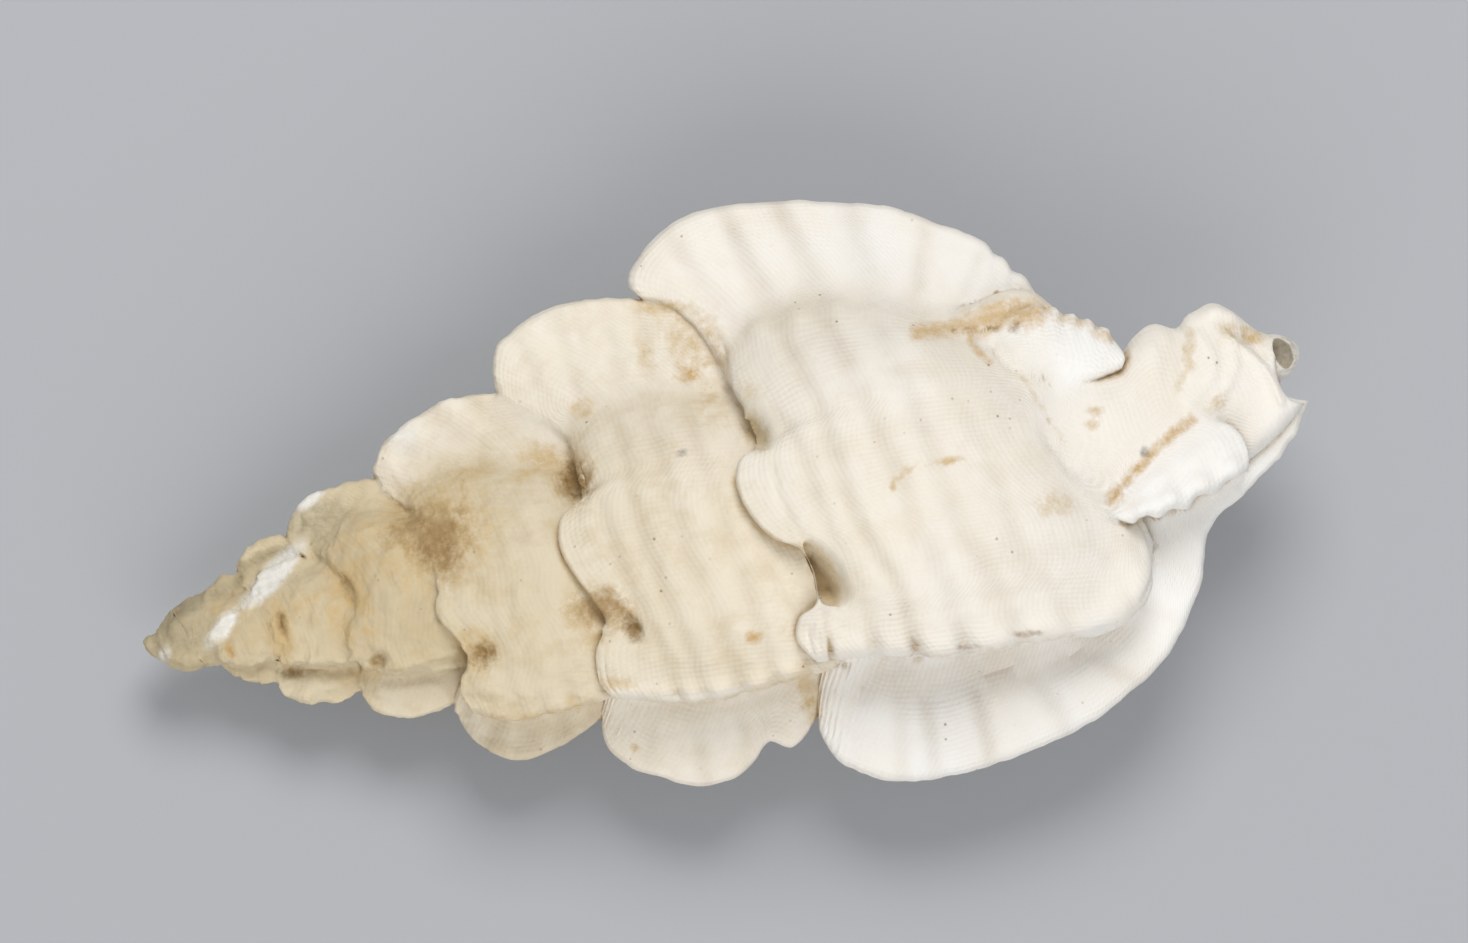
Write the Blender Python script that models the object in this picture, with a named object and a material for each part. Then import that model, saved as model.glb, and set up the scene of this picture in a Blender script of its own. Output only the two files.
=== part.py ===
"""Aspella hildrunae, a small white murex shell, as one closed solid.

The shell is set out in its own frame, in millimetres. u runs from the apex to the end of the
canal, v runs to the side and w stands up from the shell's long axis towards the back of the shell.
A murex grows in stages. Each half turn ends in a flange, and the next half turn starts from inside
that flange. So the surface is a stack of plates: a domed one for each half turn, and a thin one
with a rounded rim for each flange. Every plate is a patch between four edges, drawn in u and v,
and a rule for its height. All plates are joined, the aperture, the canal and the pits are cut, and
the shell is laid on its aperture side.
"""
import math

import bmesh
import bpy
import numpy as np
from mathutils import Matrix

MM = 0.001

# Growth
TURN_SHRINK = 0.69           # each turn is this share of the one after it, on the aperture side
FRONT_TURNS = 5              # turns that show on the aperture side before the last one

# Domes
DOME_ARCH = (0.26, 0.6, 0.68)    # height at the start, place of the top and height at the crest
DOME_LIP = 0.06              # rounding of a dome's side edges
START_LIP = 0.03             # rounding where a dome comes out of the flange before it
CREST_LIP = 0.12             # rounding of a dome's crest
CREST_FLARE = 0.05           # upturn of the crest
CREST_REACH = 0.18           # how far the upturn reaches back
CORD_HEIGHT = 0.022          # low spiral cords
BACK_DEPTH = 0.3             # how far a dome on the back reaches past the shell's axis
FRONT_DEPTH = 0.3            # the same on the aperture side
APERTURE_DEPTH = 0.2
CANAL_DEPTH = 0.1
DEPTH_STEP = 0.02            # each earlier dome reaches this share deeper, so that no two meet flush
UNDER_RISE = 1.1             # rise of a dome's underside towards its crest, as a share of its depth
UNDERCUT = 0.05              # share by which a dome's walls draw in below its edge
WAIST = 0.1                  # how far a dome's walls are hollowed under the edge
WAIST_DROP = 0.25            # how far down the wall the hollow lies

# Flanges
RIM_LIP = 0.11               # rounding of a flange's rim
RIM_SHARE = 0.06             # thickness left at the very rim, as a share
ROOT_EASE = 1.5              # how fast a flange thins out from its root
FAN_HEIGHT = 0.03            # ribs of a flange's fan

# Aperture
APERTURE_CENTRE = (8.5, -1.1)
APERTURE_SIZE = (2.2, 1.3)
APERTURE_SLANT = math.radians(14)
PERISTOME_RADIUS = 0.13
PERISTOME_LEVEL = 1.3
PERISTOME_OUT = 0.08         # the lip's middle lies this far outside the opening
PERISTOME_FALL = 0.06        # the lip comes nearer the axis by this slope towards the canal
PERISTOME_HEIGHT = 0.22      # half height of the lip
THROAT = ((-1.9, 0.02), (-1.45, 0.0), (-1.1, -0.12), (-0.8, -0.24), (-0.45, -0.42))    # w and growth

# Axis, in u and v
LEAN = [(-0.03, 0.03), (0.07, -0.07), (0.45, -0.09), (1.0, -0.05), (9.0, -0.1), (10.6, 0.1), (11.6, 0.2),
        (12.4, 0.2)]

# Bodies round the axis: u and radius, then height of the middle and flatness
SPINDLE = ([(0.12, 0.08), (0.6, 0.2), (2.0, 0.38), (4.0, 0.66), (6.0, 0.9), (8.0, 0.95), (9.6, 0.7),
            (10.6, 0.45), (11.4, 0.3)], 0.0, 0.9)
TIP = ([(-0.03, 0.02), (0.07, 0.17), (0.22, 0.31), (0.45, 0.38), (0.8, 0.4), (1.1, 0.3)], 0.0, 0.8)
CANAL = ([(9.8, 0.55), (10.4, 0.5), (11.0, 0.46), (11.6, 0.4), (12.1, 0.28), (12.3, 0.2)], -0.08, 0.9)

# The canal's raised end, its bore and the groove that runs to it: u, v, w and radius
EAR = [(11.7, 0.36, -0.12, 0.24), (12.05, 0.4, -0.04, 0.26), (12.3, 0.43, 0.08, 0.25),
       (12.42, 0.445, 0.15, 0.19), (12.5, 0.45, 0.2, 0.1)]
BORE = [(11.9, 0.37, -0.04, 0.15), (12.15, 0.41, 0.02, 0.19), (12.3, 0.44, 0.12, 0.2),
        (12.37, 0.455, 0.3, 0.205), (12.42, 0.47, 0.7, 0.24)]
BORE_FLATNESS = 0.6
GROOVE = [(9.2, -0.8, -1.2), (9.8, -0.5, -0.95), (10.4, -0.12, -0.66), (11.0, 0.12, -0.5),
          (11.7, 0.22, -0.44), (12.3, 0.25, -0.36), (12.8, 0.25, -0.3)]
GROOVE_RADIUS = 0.09
GROOVE_FLATNESS = 1.8

# Rest
REST_TILT = math.radians(-5.5)
REST_ROLL = math.radians(4.0)
FLAT_DEPTH = 0.06            # how much is cut flat below the shell
GROUND_SIZE = (18.0, 12.0, 2.0)

WHITE = (0.83, 0.79, 0.71, 1.0)

# Back of the shell: one dome for each half turn, the last turn first. start is the edge that comes
# out of the flange before it, end is the crest above the flange after it, post lies on the turn
# before it and front faces the canal. crown is the height along u, at the top of the arch.
BACK_DOMES = (
    dict(start=[(6.6, 1.75), (7.15, 2.0), (7.85, 2.0), (8.45, 1.8), (9.0, 1.45)],
         end=[(6.85, -1.7), (7.6, -1.8), (8.2, -1.95), (9.2, -2.0), (9.9, -2.05), (10.4, -1.8),
              (10.62, -1.2)],
         post=[(6.52, 1.4), (6.62, 1.03), (6.7, 0.65), (6.52, 0.56), (6.42, 0.3), (6.5, -0.05),
               (6.68, -0.34), (6.95, -0.52), (7.02, -0.85), (6.98, -1.1), (6.77, -1.22), (6.7, -1.45)],
         front=[(9.6, 1.0), (10.1, 0.3), (10.45, -0.5)],
         crown=[(6.3, 1.5), (7.2, 1.74), (8.0, 1.82), (8.8, 1.7), (9.5, 1.4), (10.1, 1.05), (10.7, 0.86)],
         cords=7, rows=16, columns=17, front_drop=(0.3, 0.9)),
    dict(start=[(4.76, 1.12), (5.1, 1.38), (5.85, 1.4), (6.9, 1.2)],
         end=[(4.67, -1.63), (4.95, -1.72), (5.45, -1.87), (6.05, -1.9), (7.1, -1.82)],
         post=[(4.75, 0.8), (4.8, 0.5), (4.55, 0.36), (4.46, 0.1), (4.52, -0.2), (4.66, -0.52),
               (4.78, -0.85), (4.62, -1.1), (4.58, -1.4)],
         front=[(7.4, 0.1), (7.6, -1.0)],
         crown=[(4.4, 1.1), (5.2, 1.3), (6.0, 1.4), (6.8, 1.36), (7.6, 1.2)],
         size=0.72, cords=6, rows=13, columns=14),
    dict(start=[(2.95, 0.9), (3.4, 1.1), (4.0, 1.05), (4.9, 0.8)],
         end=[(3.17, -1.47), (3.55, -1.66), (4.0, -1.68), (4.85, -1.62)],
         post=[(3.02, 0.4), (3.11, -0.1), (3.05, -0.4), (3.2, -0.7), (3.24, -0.95), (3.12, -1.22)],
         front=[(5.1, 0.1), (5.2, -0.9)],
         crown=[(2.8, 0.72), (3.5, 0.9), (4.2, 1.02), (5.3, 0.98)],
         size=0.5, cords=4, rows=10, columns=10),
    dict(start=[(1.85, 0.62), (2.2, 0.85), (2.7, 0.85), (3.3, 0.6)],
         end=[(2.15, -0.8), (2.5, -0.95), (2.9, -1.0), (3.4, -1.0)],
         post=[(2.1, 0.25), (2.2, -0.1), (2.05, -0.45)],
         front=[(3.5, 0.1), (3.55, -0.5)],
         crown=[(1.9, 0.5), (2.5, 0.64), (3.0, 0.7), (3.6, 0.68)],
         size=0.36, cords=3, rows=9, columns=8),
    dict(start=[(1.15, 0.3), (1.45, 0.5), (1.8, 0.5), (2.3, 0.4)],
         end=[(1.33, -0.57), (1.6, -0.68), (1.95, -0.72), (2.4, -0.7)],
         post=[(1.24, 0.05), (1.3, -0.25)],
         front=[(2.45, -0.1)],
         crown=[(1.1, 0.33), (1.6, 0.42), (2.0, 0.47), (2.5, 0.46)],
         size=0.26, cords=2, rows=8, columns=7),
    dict(start=[(0.6, 0.12), (0.85, 0.28), (1.1, 0.3), (1.5, 0.2)],
         end=[(0.72, -0.45), (0.95, -0.52), (1.2, -0.52), (1.55, -0.5)],
         post=[(0.62, -0.15)],
         front=[(1.6, -0.1)],
         crown=[(0.5, 0.24), (0.9, 0.29), (1.6, 0.33)],
         size=0.18, cords=2, rows=7, columns=7),
)

# Aperture side: the half turn that ends in the first top flange, repeated smaller towards the apex
FRONT_DOME = dict(
    start=[(4.65, -1.5), (5.4, -1.75), (6.3, -1.8), (7.4, -1.7)],
    end=[(6.1, 1.6), (6.7, 1.85), (7.6, 1.95), (8.6, 1.8), (9.7, 1.15)],
    post=[(5.05, -0.9), (4.95, -0.3), (5.2, 0.4), (5.75, 0.95)],
    front=[(8.6, -0.9), (9.6, 0.1)],
    crown=[(4.4, 1.18), (5.4, 1.4), (6.4, 1.58), (7.4, 1.64), (8.4, 1.5), (9.8, 1.05)],
    cords=7, rows=13, columns=12)

# Aperture side: the part of the last half turn that carries the aperture
APERTURE_DOME = dict(
    start=[(6.95, -1.85), (7.8, -2.1), (9.0, -2.05), (10.3, -1.5)],
    end=[(7.0, -0.15), (8.0, 0.2), (9.2, 0.35), (10.6, 0.5)],
    post=[(6.8, -1.4), (6.85, -0.7)],
    front=[(10.6, -0.9), (10.75, -0.2)],
    crown=[(6.8, 1.25), (7.6, 1.42), (8.4, 1.42), (9.3, 1.25), (10.1, 0.9), (10.8, 0.6)],
    arch=(0.55, 0.5, 0.6), cords=0, rows=9, columns=10, front_drop=(0.15, 0.5))

# Flanges. back is the height of the upper face at its root and at its rim, face that of the lower
TOP_FLANGES = (
    dict(start=[(6.7, 0.9), (7.4, 1.0), (8.2, 1.0), (9.0, 0.8), (9.6, 0.5)],
         end=[(5.85, 2.4), (5.75, 2.65), (6.0, 2.95), (6.45, 3.18), (7.1, 3.2), (7.9, 3.05), (8.6, 2.85),
              (9.1, 2.55), (9.6, 2.2), (9.88, 1.8), (10.02, 1.52), (10.24, 1.28), (10.42, 1.23),
              (10.62, 0.96)],
         post=[(6.5, 1.4), (6.48, 1.7), (6.25, 2.2)],
         front=[(10.1, 0.7)],
         back=(0.5, 0.24), face=(-0.7, -0.02), ribs=11, rows=8, columns=26),
    dict(start=[(4.9, 0.8), (5.3, 0.9), (6.0, 0.9), (6.8, 0.9)],
         end=[(4.15, 1.68), (4.15, 2.0), (4.3, 2.3), (4.85, 2.53), (5.55, 2.5), (6.4, 2.25)],
         post=[(4.76, 1.1), (4.6, 1.3), (4.4, 1.45)],
         front=[(6.7, 1.6)],
         back=(0.42, 0.2), face=(-0.55, 0.0), size=0.75, ribs=7, rows=7, columns=17),
    dict(start=[(3.2, 0.5), (3.6, 0.6), (4.3, 0.6), (5.1, 0.6)],
         end=[(2.75, 1.0), (2.7, 1.3), (3.0, 1.6), (3.55, 1.8), (4.1, 1.78), (4.5, 1.7)],
         post=[(2.95, 0.75)],
         front=[(5.0, 1.2)],
         back=(0.32, 0.16), face=(-0.4, 0.0), size=0.55, ribs=5, rows=7, columns=12),
    dict(start=[(2.0, 0.25), (2.5, 0.35), (3.1, 0.35)],
         end=[(1.68, 0.6), (1.65, 0.85), (1.8, 1.02), (2.1, 1.17), (2.6, 1.16), (2.9, 1.1)],
         post=[(1.85, 0.45)],
         front=[(3.1, 0.8)],
         back=(0.24, 0.13), face=(-0.28, 0.0), size=0.42, ribs=3, rows=6, columns=10),
    dict(start=[(1.2, 0.15), (1.5, 0.2), (1.8, 0.2)],
         end=[(1.05, 0.35), (1.1, 0.65), (1.45, 0.8), (1.75, 0.7)],
         post=[(1.1, 0.25)],
         front=[(1.8, 0.4)],
         back=(0.17, 0.1), face=(-0.19, 0.0), size=0.32, ribs=2, rows=6, columns=8),
    dict(start=[(0.7, 0.05), (0.95, 0.1), (1.2, 0.1)],
         end=[(0.64, 0.2), (0.68, 0.38), (0.95, 0.5), (1.2, 0.42)],
         post=[(0.66, 0.12)],
         front=[(1.22, 0.25)],
         back=(0.12, 0.08), face=(-0.13, -0.02), size=0.25, ribs=1, rows=6, columns=7),
)

BOTTOM_FLANGES = (
    dict(start=[(7.0, -1.2), (8.0, -1.3), (9.3, -1.2), (10.3, -0.6), (11.3, -0.1), (12.2, 0.1)],
         end=[(6.8, -2.0), (6.75, -2.5), (7.0, -2.93), (7.6, -3.18), (8.55, -3.18), (9.65, -2.93),
              (10.5, -2.45), (11.0, -1.8), (11.25, -1.2), (11.75, -0.88), (12.25, -0.5), (12.55, -0.1)],
         post=[(6.85, -1.7)],
         front=[(12.35, -0.02)],
         back=(1.0, 0.1), face=(-0.7, -0.1), ribs=12, rows=8, columns=28,
         taper=[(0.0, 1.0), (0.3, 1.0), (0.55, 0.8), (0.75, 0.45), (1.0, 0.16)]),
    dict(start=[(4.8, -1.0), (5.3, -1.2), (6.0, -1.2), (7.0, -1.2)],
         end=[(4.55, -1.65), (4.5, -2.05), (4.65, -2.35), (4.95, -2.55), (5.4, -2.76), (5.85, -2.72),
              (6.2, -2.45), (6.45, -2.56), (6.75, -2.3)],
         post=[(4.65, -1.4)],
         front=[(6.95, -1.8)],
         back=(0.78, 0.08), face=(-0.5, -0.08), size=0.75, ribs=7, rows=7, columns=18),
    dict(start=[(3.4, -0.9), (3.8, -1.0), (4.2, -1.0), (4.7, -1.0)],
         end=[(3.0, -1.42), (3.15, -1.8), (3.45, -2.05), (3.75, -2.1), (4.15, -2.0), (4.6, -1.8)],
         post=[(3.1, -1.2)],
         front=[(4.7, -1.5)],
         back=(0.55, 0.06), face=(-0.36, -0.06), size=0.55, ribs=5, rows=7, columns=12),
    dict(start=[(2.3, -0.5), (2.7, -0.6), (3.3, -0.6)],
         end=[(2.06, -0.95), (2.15, -1.25), (2.5, -1.4), (2.9, -1.38), (3.3, -1.22)],
         post=[(2.12, -0.75)],
         front=[(3.42, -0.9)],
         back=(0.4, 0.07), face=(-0.26, -0.06), size=0.42, ribs=3, rows=6, columns=10),
    dict(start=[(1.4, -0.3), (1.7, -0.35), (2.15, -0.35)],
         end=[(1.22, -0.72), (1.3, -0.93), (1.55, -1.07), (1.9, -1.09), (2.22, -1.0)],
         post=[(1.28, -0.5)],
         front=[(2.28, -0.65)],
         back=(0.28, 0.06), face=(-0.19, -0.05), size=0.32, ribs=2, rows=6, columns=8),
    dict(start=[(0.8, -0.15), (1.05, -0.2), (1.38, -0.2)],
         end=[(0.7, -0.48), (0.8, -0.6), (1.1, -0.73), (1.4, -0.74)],
         post=[(0.74, -0.3)],
         front=[(1.43, -0.45)],
         back=(0.2, 0.06), face=(-0.14, -0.05), size=0.25, ribs=1, rows=6, columns=7),
)

# Canal side: the neck with its open canal, the old canal beside it, the canal's part of the crest,
# and the wedge of sand between the old canal and the last turn
CANAL_PLATES = dict(
    neck=dict(start=[(9.0, 1.2), (9.6, 0.9), (10.2, 0.84), (10.66, 0.8), (10.84, 0.94), (11.08, 1.04),
                     (11.31, 0.95), (11.55, 1.07), (11.75, 1.14), (11.94, 1.01), (12.19, 0.73), (12.46, 0.61)],
              end=[(9.2, -1.2), (10.0, -1.1), (10.9, -0.85), (11.5, -0.7), (12.1, -0.42), (12.5, -0.12)],
              post=[(9.05, 0.2), (9.1, -0.7)],
              front=[(12.3, 0.45), (12.27, 0.15), (12.36, -0.04)],
              crown=[(9.0, 1.3), (9.6, 1.22), (10.3, 0.98), (11.0, 0.75), (11.8, 0.52), (12.5, 0.36)],
              arch=(0.3, 0.45, 0.5), belly=0.55, cords=0, rows=9, columns=20),
    old_canal=dict(start=[(9.2, 1.3), (9.5, 1.42), (9.95, 1.38), (10.35, 1.16), (10.68, 0.88)],
                   end=[(9.3, 1.08), (9.42, 0.86), (9.65, 0.67), (10.0, 0.6), (10.35, 0.58), (10.66, 0.64)],
                   post=[(9.2, 1.2)],
                   front=[(10.73, 0.75)],
                   crown=[(9.0, 0.98), (9.8, 0.92), (10.4, 0.78), (10.8, 0.66)],
                   arch=(0.7, 0.55, 0.93), size=0.8, cords=0, rows=8, columns=11),
    wedge=dict(start=[(8.6, 1.6), (9.11, 1.62), (9.56, 1.7), (9.9, 1.66), (10.2, 1.3)],
               end=[(8.66, 1.4), (9.06, 1.2), (9.4, 1.1), (9.8, 1.1), (10.1, 1.1)],
               post=[(8.6, 1.5)],
               front=[(10.2, 1.2)],
               crown=[(8.6, 0.78), (9.2, 0.74), (9.7, 0.62), (10.2, 0.5)],
               arch=(0.75, 0.5, 0.95), size=0.7, cords=0, rows=6, columns=8),
    crest_canal=dict(start=[(10.2, -0.76), (10.42, -0.56), (10.8, -0.27), (11.2, -0.06), (11.4, -0.02)],
                     end=[(10.3, -0.92), (10.65, -0.95), (10.97, -0.93), (11.2, -0.82), (11.55, -0.8),
                          (11.76, -0.68)],
                     post=[(10.22, -0.85)],
                     front=[(11.68, -0.18), (11.8, -0.42)],
                     crown=[(10.1, 0.92), (10.6, 0.99), (11.2, 0.88), (11.8, 0.7)],
                     arch=(0.75, 0.7, 0.9), size=0.8, cords=0, rows=8, columns=12),
)

# The two deep pits where the last turn bridges the turn before it. They narrow downwards, towards
# their left brink: each level is a height and a share of the outline
PITS = (
    [(6.64, 1.02), (6.8, 1.02), (6.87, 0.69), (6.7, 0.62)],
    [(6.98, -0.5), (7.1, -0.54), (7.21, -0.79), (7.29, -1.12), (7.05, -1.1), (7.03, -0.8)],
)
PIT_LEVELS = ((2.3, 1.2), (1.48, 1.0), (1.3, 0.74), (1.14, 0.5))


def smooth_curve(points, count):
    """Evenly spaced points on a smooth curve through the given ones."""
    knots = np.array(points, dtype=float)
    padded = np.vstack([2 * knots[0] - knots[1], knots, 2 * knots[-1] - knots[-2]])
    t = np.linspace(0, 1, 16, endpoint=False)[:, None]
    dense = []
    for a, b, c, d in zip(padded, padded[1:], padded[2:], padded[3:]):
        bend = 2 * a - 5 * b + 4 * c - d + t * (3 * (b - c) + d - a)
        dense.append(b + 0.5 * t * (c - a + t * bend))
    dense = np.vstack(dense + [knots[-1:]])
    return along(dense, np.linspace(0, 1, count))


def along(line, where):
    """Points of a dense line at the given shares of its length."""
    steps = np.linalg.norm(np.diff(line, axis=0), axis=1)
    length = np.concatenate([[0], np.cumsum(steps)]) / steps.sum()
    return np.stack([np.interp(where, length, line[:, k]) for k in range(line.shape[1])], axis=1)


def shares(count, edge=0.018):
    """Shares from 0 to 1, closer together at both ends so that an edge can be rounded."""
    inner = np.linspace(edge * 2.6, 1 - edge * 2.6, count - 4)
    return np.concatenate([[0, edge], inner, [1 - edge, 1]])


def patch(stage, down, across):
    """Plan points of a four-edged patch. post and front hold only the points between the corners."""
    start = stage["start"]
    end = stage["end"]
    start_row = along(smooth_curve(start, 300), across)
    end_row = along(smooth_curve(end, 300), across)
    post_side = along(smooth_curve([start[0]] + stage["post"] + [end[0]], 300), down)
    front_side = along(smooth_curve([start[-1]] + stage["front"] + [end[-1]], 300), down)
    g = down[:, None, None]
    s = across[None, :, None]
    rows = (1 - g) * start_row[None] + g * end_row[None]
    sides = (1 - s) * post_side[:, None] + s * front_side[:, None]
    corners = ((1 - g) * ((1 - s) * start_row[0] + s * start_row[-1])
               + g * ((1 - s) * end_row[0] + s * end_row[-1]))
    return rows + sides - corners


def edge_distances(plan):
    """Distance of every plan point from the patch's start, end, post and front edges."""
    down = np.linalg.norm(np.diff(plan, axis=0), axis=2)
    from_start = np.concatenate([np.zeros((1, plan.shape[1])), np.cumsum(down, axis=0)])
    across = np.linalg.norm(np.diff(plan, axis=1), axis=2)
    from_post = np.concatenate([np.zeros((plan.shape[0], 1)), np.cumsum(across, axis=1)], axis=1)
    return from_start, from_start[-1:] - from_start, from_post, from_post[:, -1:] - from_post


def fall(distance, radius):
    """Drop of a rounded edge at a distance from it."""
    near = np.clip(1 - distance / radius, 0, 1)
    return radius * (1 - np.sqrt(1 - near ** 2))


def level(points, u):
    """Smooth height read at u."""
    fine = smooth_curve(points, 200)
    return np.interp(u, fine[:, 0], fine[:, 1])


def arch(g, low, peak, high):
    """Height across a dome, from its start edge to its crest, as a share of the crown."""
    before = (g - peak) * math.sqrt(1 - low ** 2) / peak
    after = (g - peak) * math.sqrt(1 - high ** 2) / (1 - peak)
    return np.sqrt(1 - np.where(g < peak, before, after) ** 2)


def dome(stage):
    """Upper and lower sheet of a half turn between two flanges."""
    down = shares(stage["rows"])
    across = shares(stage["columns"])
    plan = patch(stage, down, across)
    from_start, from_end, from_post, from_front = edge_distances(plan)
    size = stage.get("size", 1.0)
    lip = DOME_LIP * size
    height = level(stage["crown"], plan[..., 0])
    height *= arch(from_start / from_start[-1:], *stage.get("arch", DOME_ARCH))
    cords = np.cos(2 * math.pi * stage["cords"] * across)[None, :] * np.sin(math.pi * down)[:, None] ** 0.5
    height += CORD_HEIGHT * size * cords
    height += CREST_FLARE * size * np.exp(-from_end / (CREST_REACH * size))
    height -= fall(from_start, START_LIP * size) + fall(from_end, CREST_LIP * size)
    height -= fall(from_post, lip) + fall(from_front, lip)
    drop, reach = stage.get("front_drop", (0.0, 1.0))
    height -= drop * np.clip(1 - from_front / reach, 0, 1) ** 2
    centre = plan.reshape(-1, 2).mean(axis=0)
    if "belly" in stage:
        under = -stage["belly"] * height
    else:
        under = np.broadcast_to(-stage["depth"] * (1 - UNDER_RISE * down[:, None] ** 4), height.shape)
    return np.dstack([plan, height]), np.dstack([centre + (plan - centre) * (1 - UNDERCUT), under])


def flange(stage):
    """Both faces of a flange: a thin plate with a rounded rim and ribs that fan out over it."""
    down = shares(stage["rows"])
    across = shares(stage["columns"])
    plan = patch(stage, down, across)
    from_start, from_end, from_post, from_front = edge_distances(plan)
    size = stage.get("size", 1.0)
    near = (1 - from_start / from_start[-1:]) ** ROOT_EASE
    ribs = np.cos(2 * math.pi * stage["ribs"] * across)[None, :] * np.sin(math.pi * down)[:, None] ** 0.5
    edge = np.minimum(np.minimum(from_end, from_post), from_front)
    rounding = np.sqrt(1 - np.clip(1 - edge / (RIM_LIP * size), 0, 1) ** 2)
    closing = RIM_SHARE + (1 - RIM_SHARE) * rounding
    taper = level(stage.get("taper", [(0, 1), (1, 1)]), across)[None, :]
    back, face = [rim + (root * taper - rim) * near for root, rim in (stage["back"], stage["face"])]
    middle = (back + face) / 2 + FAN_HEIGHT * size * ribs
    half = (back - face) / 2 * closing
    return np.dstack([plan, middle + half]), np.dstack([plan, middle - half])


def solid(name, sheets, collection, flip=False, waist=0.0):
    """One closed body between two sheets of the same grid. A waist draws its side walls in."""
    upper, lower = sheets
    rows, columns = upper.shape[:2]
    count = rows * columns
    faces = []
    for i in range(rows - 1):
        for j in range(columns - 1):
            a = i * columns + j
            faces.append((a, a + 1, a + 1 + columns, a + columns))
            faces.append((a + count, a + columns + count, a + 1 + columns + count, a + 1 + count))
    ring = list(range(columns))
    ring += [i * columns + columns - 1 for i in range(1, rows)]
    ring += [(rows - 1) * columns + j for j in range(columns - 2, -1, -1)]
    ring += [i * columns for i in range(rows - 2, 0, -1)]
    rings = [np.array(ring)]
    layers = [upper.reshape(-1, 3), lower.reshape(-1, 3)]
    if waist:
        rim = layers[0][ring]
        turn = np.roll(rim, -1, axis=0) - np.roll(rim, 1, axis=0)
        inward = np.column_stack([turn[:, 1], -turn[:, 0], np.zeros(len(ring))])
        inward /= np.linalg.norm(inward, axis=1)[:, None]
        if np.sum(inward * (rim.mean(axis=0) - rim)) < 0:
            inward = -inward
        layers.append(rim + (layers[1][ring] - rim) * WAIST_DROP + inward * waist)
        rings.append(2 * count + np.arange(len(ring)))
    rings.append(np.array(ring) + count)
    for high, low in zip(rings, rings[1:]):
        for a, b, c, d in zip(high, np.roll(high, -1), np.roll(low, -1), low):
            faces.append((int(b), int(a), int(d), int(c)))
    points = np.concatenate(layers)
    if flip:
        points = points * np.array([1, 1, -1])
    return body(name, points, faces, collection)


def rings_body(name, rings, collection, closed=False):
    """One closed body through a row of rings with the same number of points."""
    count = len(rings)
    sides = len(rings[0])
    faces = []
    for i in range(count if closed else count - 1):
        for k in range(sides):
            a = i * sides + k
            b = i * sides + (k + 1) % sides
            ahead = ((i + 1) % count - i) * sides
            faces.append((a, b, b + ahead, a + ahead))
    if not closed:
        faces.append(tuple(range(sides))[::-1])
        faces.append(tuple(range((count - 1) * sides, count * sides)))
    return body(name, np.concatenate(rings), faces, collection)


def tube(name, path, radii, collection, sides=10, squash=1.0):
    """One closed body round a path, with a radius at each of its points."""
    path = np.array(path, dtype=float)
    ahead = np.gradient(path, axis=0)
    side = np.cross(ahead, (0, 0, 1))
    side /= np.linalg.norm(side, axis=1)[:, None]
    rise = np.cross(side, ahead)
    rise /= np.linalg.norm(rise, axis=1)[:, None]
    turn = np.linspace(0, 2 * math.pi, sides, endpoint=False)[:, None]
    rings = [place + radius * (np.cos(turn) * a + squash * np.sin(turn) * b)
             for place, radius, a, b in zip(path, radii, side, rise)]
    return rings_body(name, rings, collection)


def body(name, points, faces, collection):
    """A mesh object in metres, with its faces turned outwards."""
    mesh = bpy.data.meshes.new(name)
    mesh.from_pydata((points * MM).tolist(), [], faces)
    work = bmesh.new()
    work.from_mesh(mesh)
    bmesh.ops.triangulate(work, faces=work.faces)
    bmesh.ops.recalc_face_normals(work, faces=work.faces)
    if work.calc_volume(signed=True) < 0:
        bmesh.ops.reverse_faces(work, faces=work.faces)
    work.to_mesh(mesh)
    work.free()
    piece = bpy.data.objects.new(name, mesh)
    collection.objects.link(piece)
    return piece


def shrunk(stage, factor):
    """The same growth stage earlier in the shell's life: everything scaled about the apex."""
    small = dict(stage)
    for edge in ("start", "end", "post", "front", "crown"):
        small[edge] = [(a * factor, b * factor) for a, b in stage[edge]]
    small["size"] = stage.get("size", 1.0) * factor
    small["rows"] = max(7, round(stage["rows"] * factor ** 0.7))
    small["columns"] = max(7, round(stage["columns"] * factor ** 0.7))
    return small


def build_growth(collection):
    """Every dome and flange as a closed body of its own."""
    pieces = []
    for i, stage in enumerate(BACK_DOMES):
        size = stage.get("size", 1.0)
        stage = dict(stage, depth=BACK_DEPTH * size * (1 + DEPTH_STEP * i))
        pieces.append(solid(f"back_dome_{i}", dome(stage), collection, waist=WAIST * size))
    for i in range(FRONT_TURNS):
        stage = shrunk(FRONT_DOME, TURN_SHRINK ** i)
        stage["depth"] = FRONT_DEPTH * stage["size"] * (1 + DEPTH_STEP * i)
        pieces.append(solid(f"front_dome_{i}", dome(stage), collection, flip=True,
                            waist=WAIST * stage["size"]))
    stage = dict(APERTURE_DOME, depth=APERTURE_DEPTH)
    pieces.append(solid("aperture_dome", dome(stage), collection, flip=True))
    for label, flanges in (("top", TOP_FLANGES), ("bottom", BOTTOM_FLANGES)):
        for i, stage in enumerate(flanges):
            pieces.append(solid(f"{label}_flange_{i}", flange(stage), collection))
    for label, stage in CANAL_PLATES.items():
        pieces.append(solid(label, dome(dict(stage, depth=CANAL_DEPTH)), collection))
    return pieces


def build_core(collection):
    """The spindle inside the turns, the eroded tip, the canal with its raised end, and the peristome."""
    pieces = []
    for name, (profile, lift, squash) in (("spindle", SPINDLE), ("tip", TIP), ("canal", CANAL)):
        path = [(u, level(LEAN, u), lift) for u, _ in profile]
        pieces.append(tube(name, path, [r for _, r in profile], collection, squash=squash))
    pieces.append(tube("ear", [place[:3] for place in EAR], [place[3] for place in EAR], collection, sides=14))
    pieces.append(peristome(collection))
    return pieces


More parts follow.
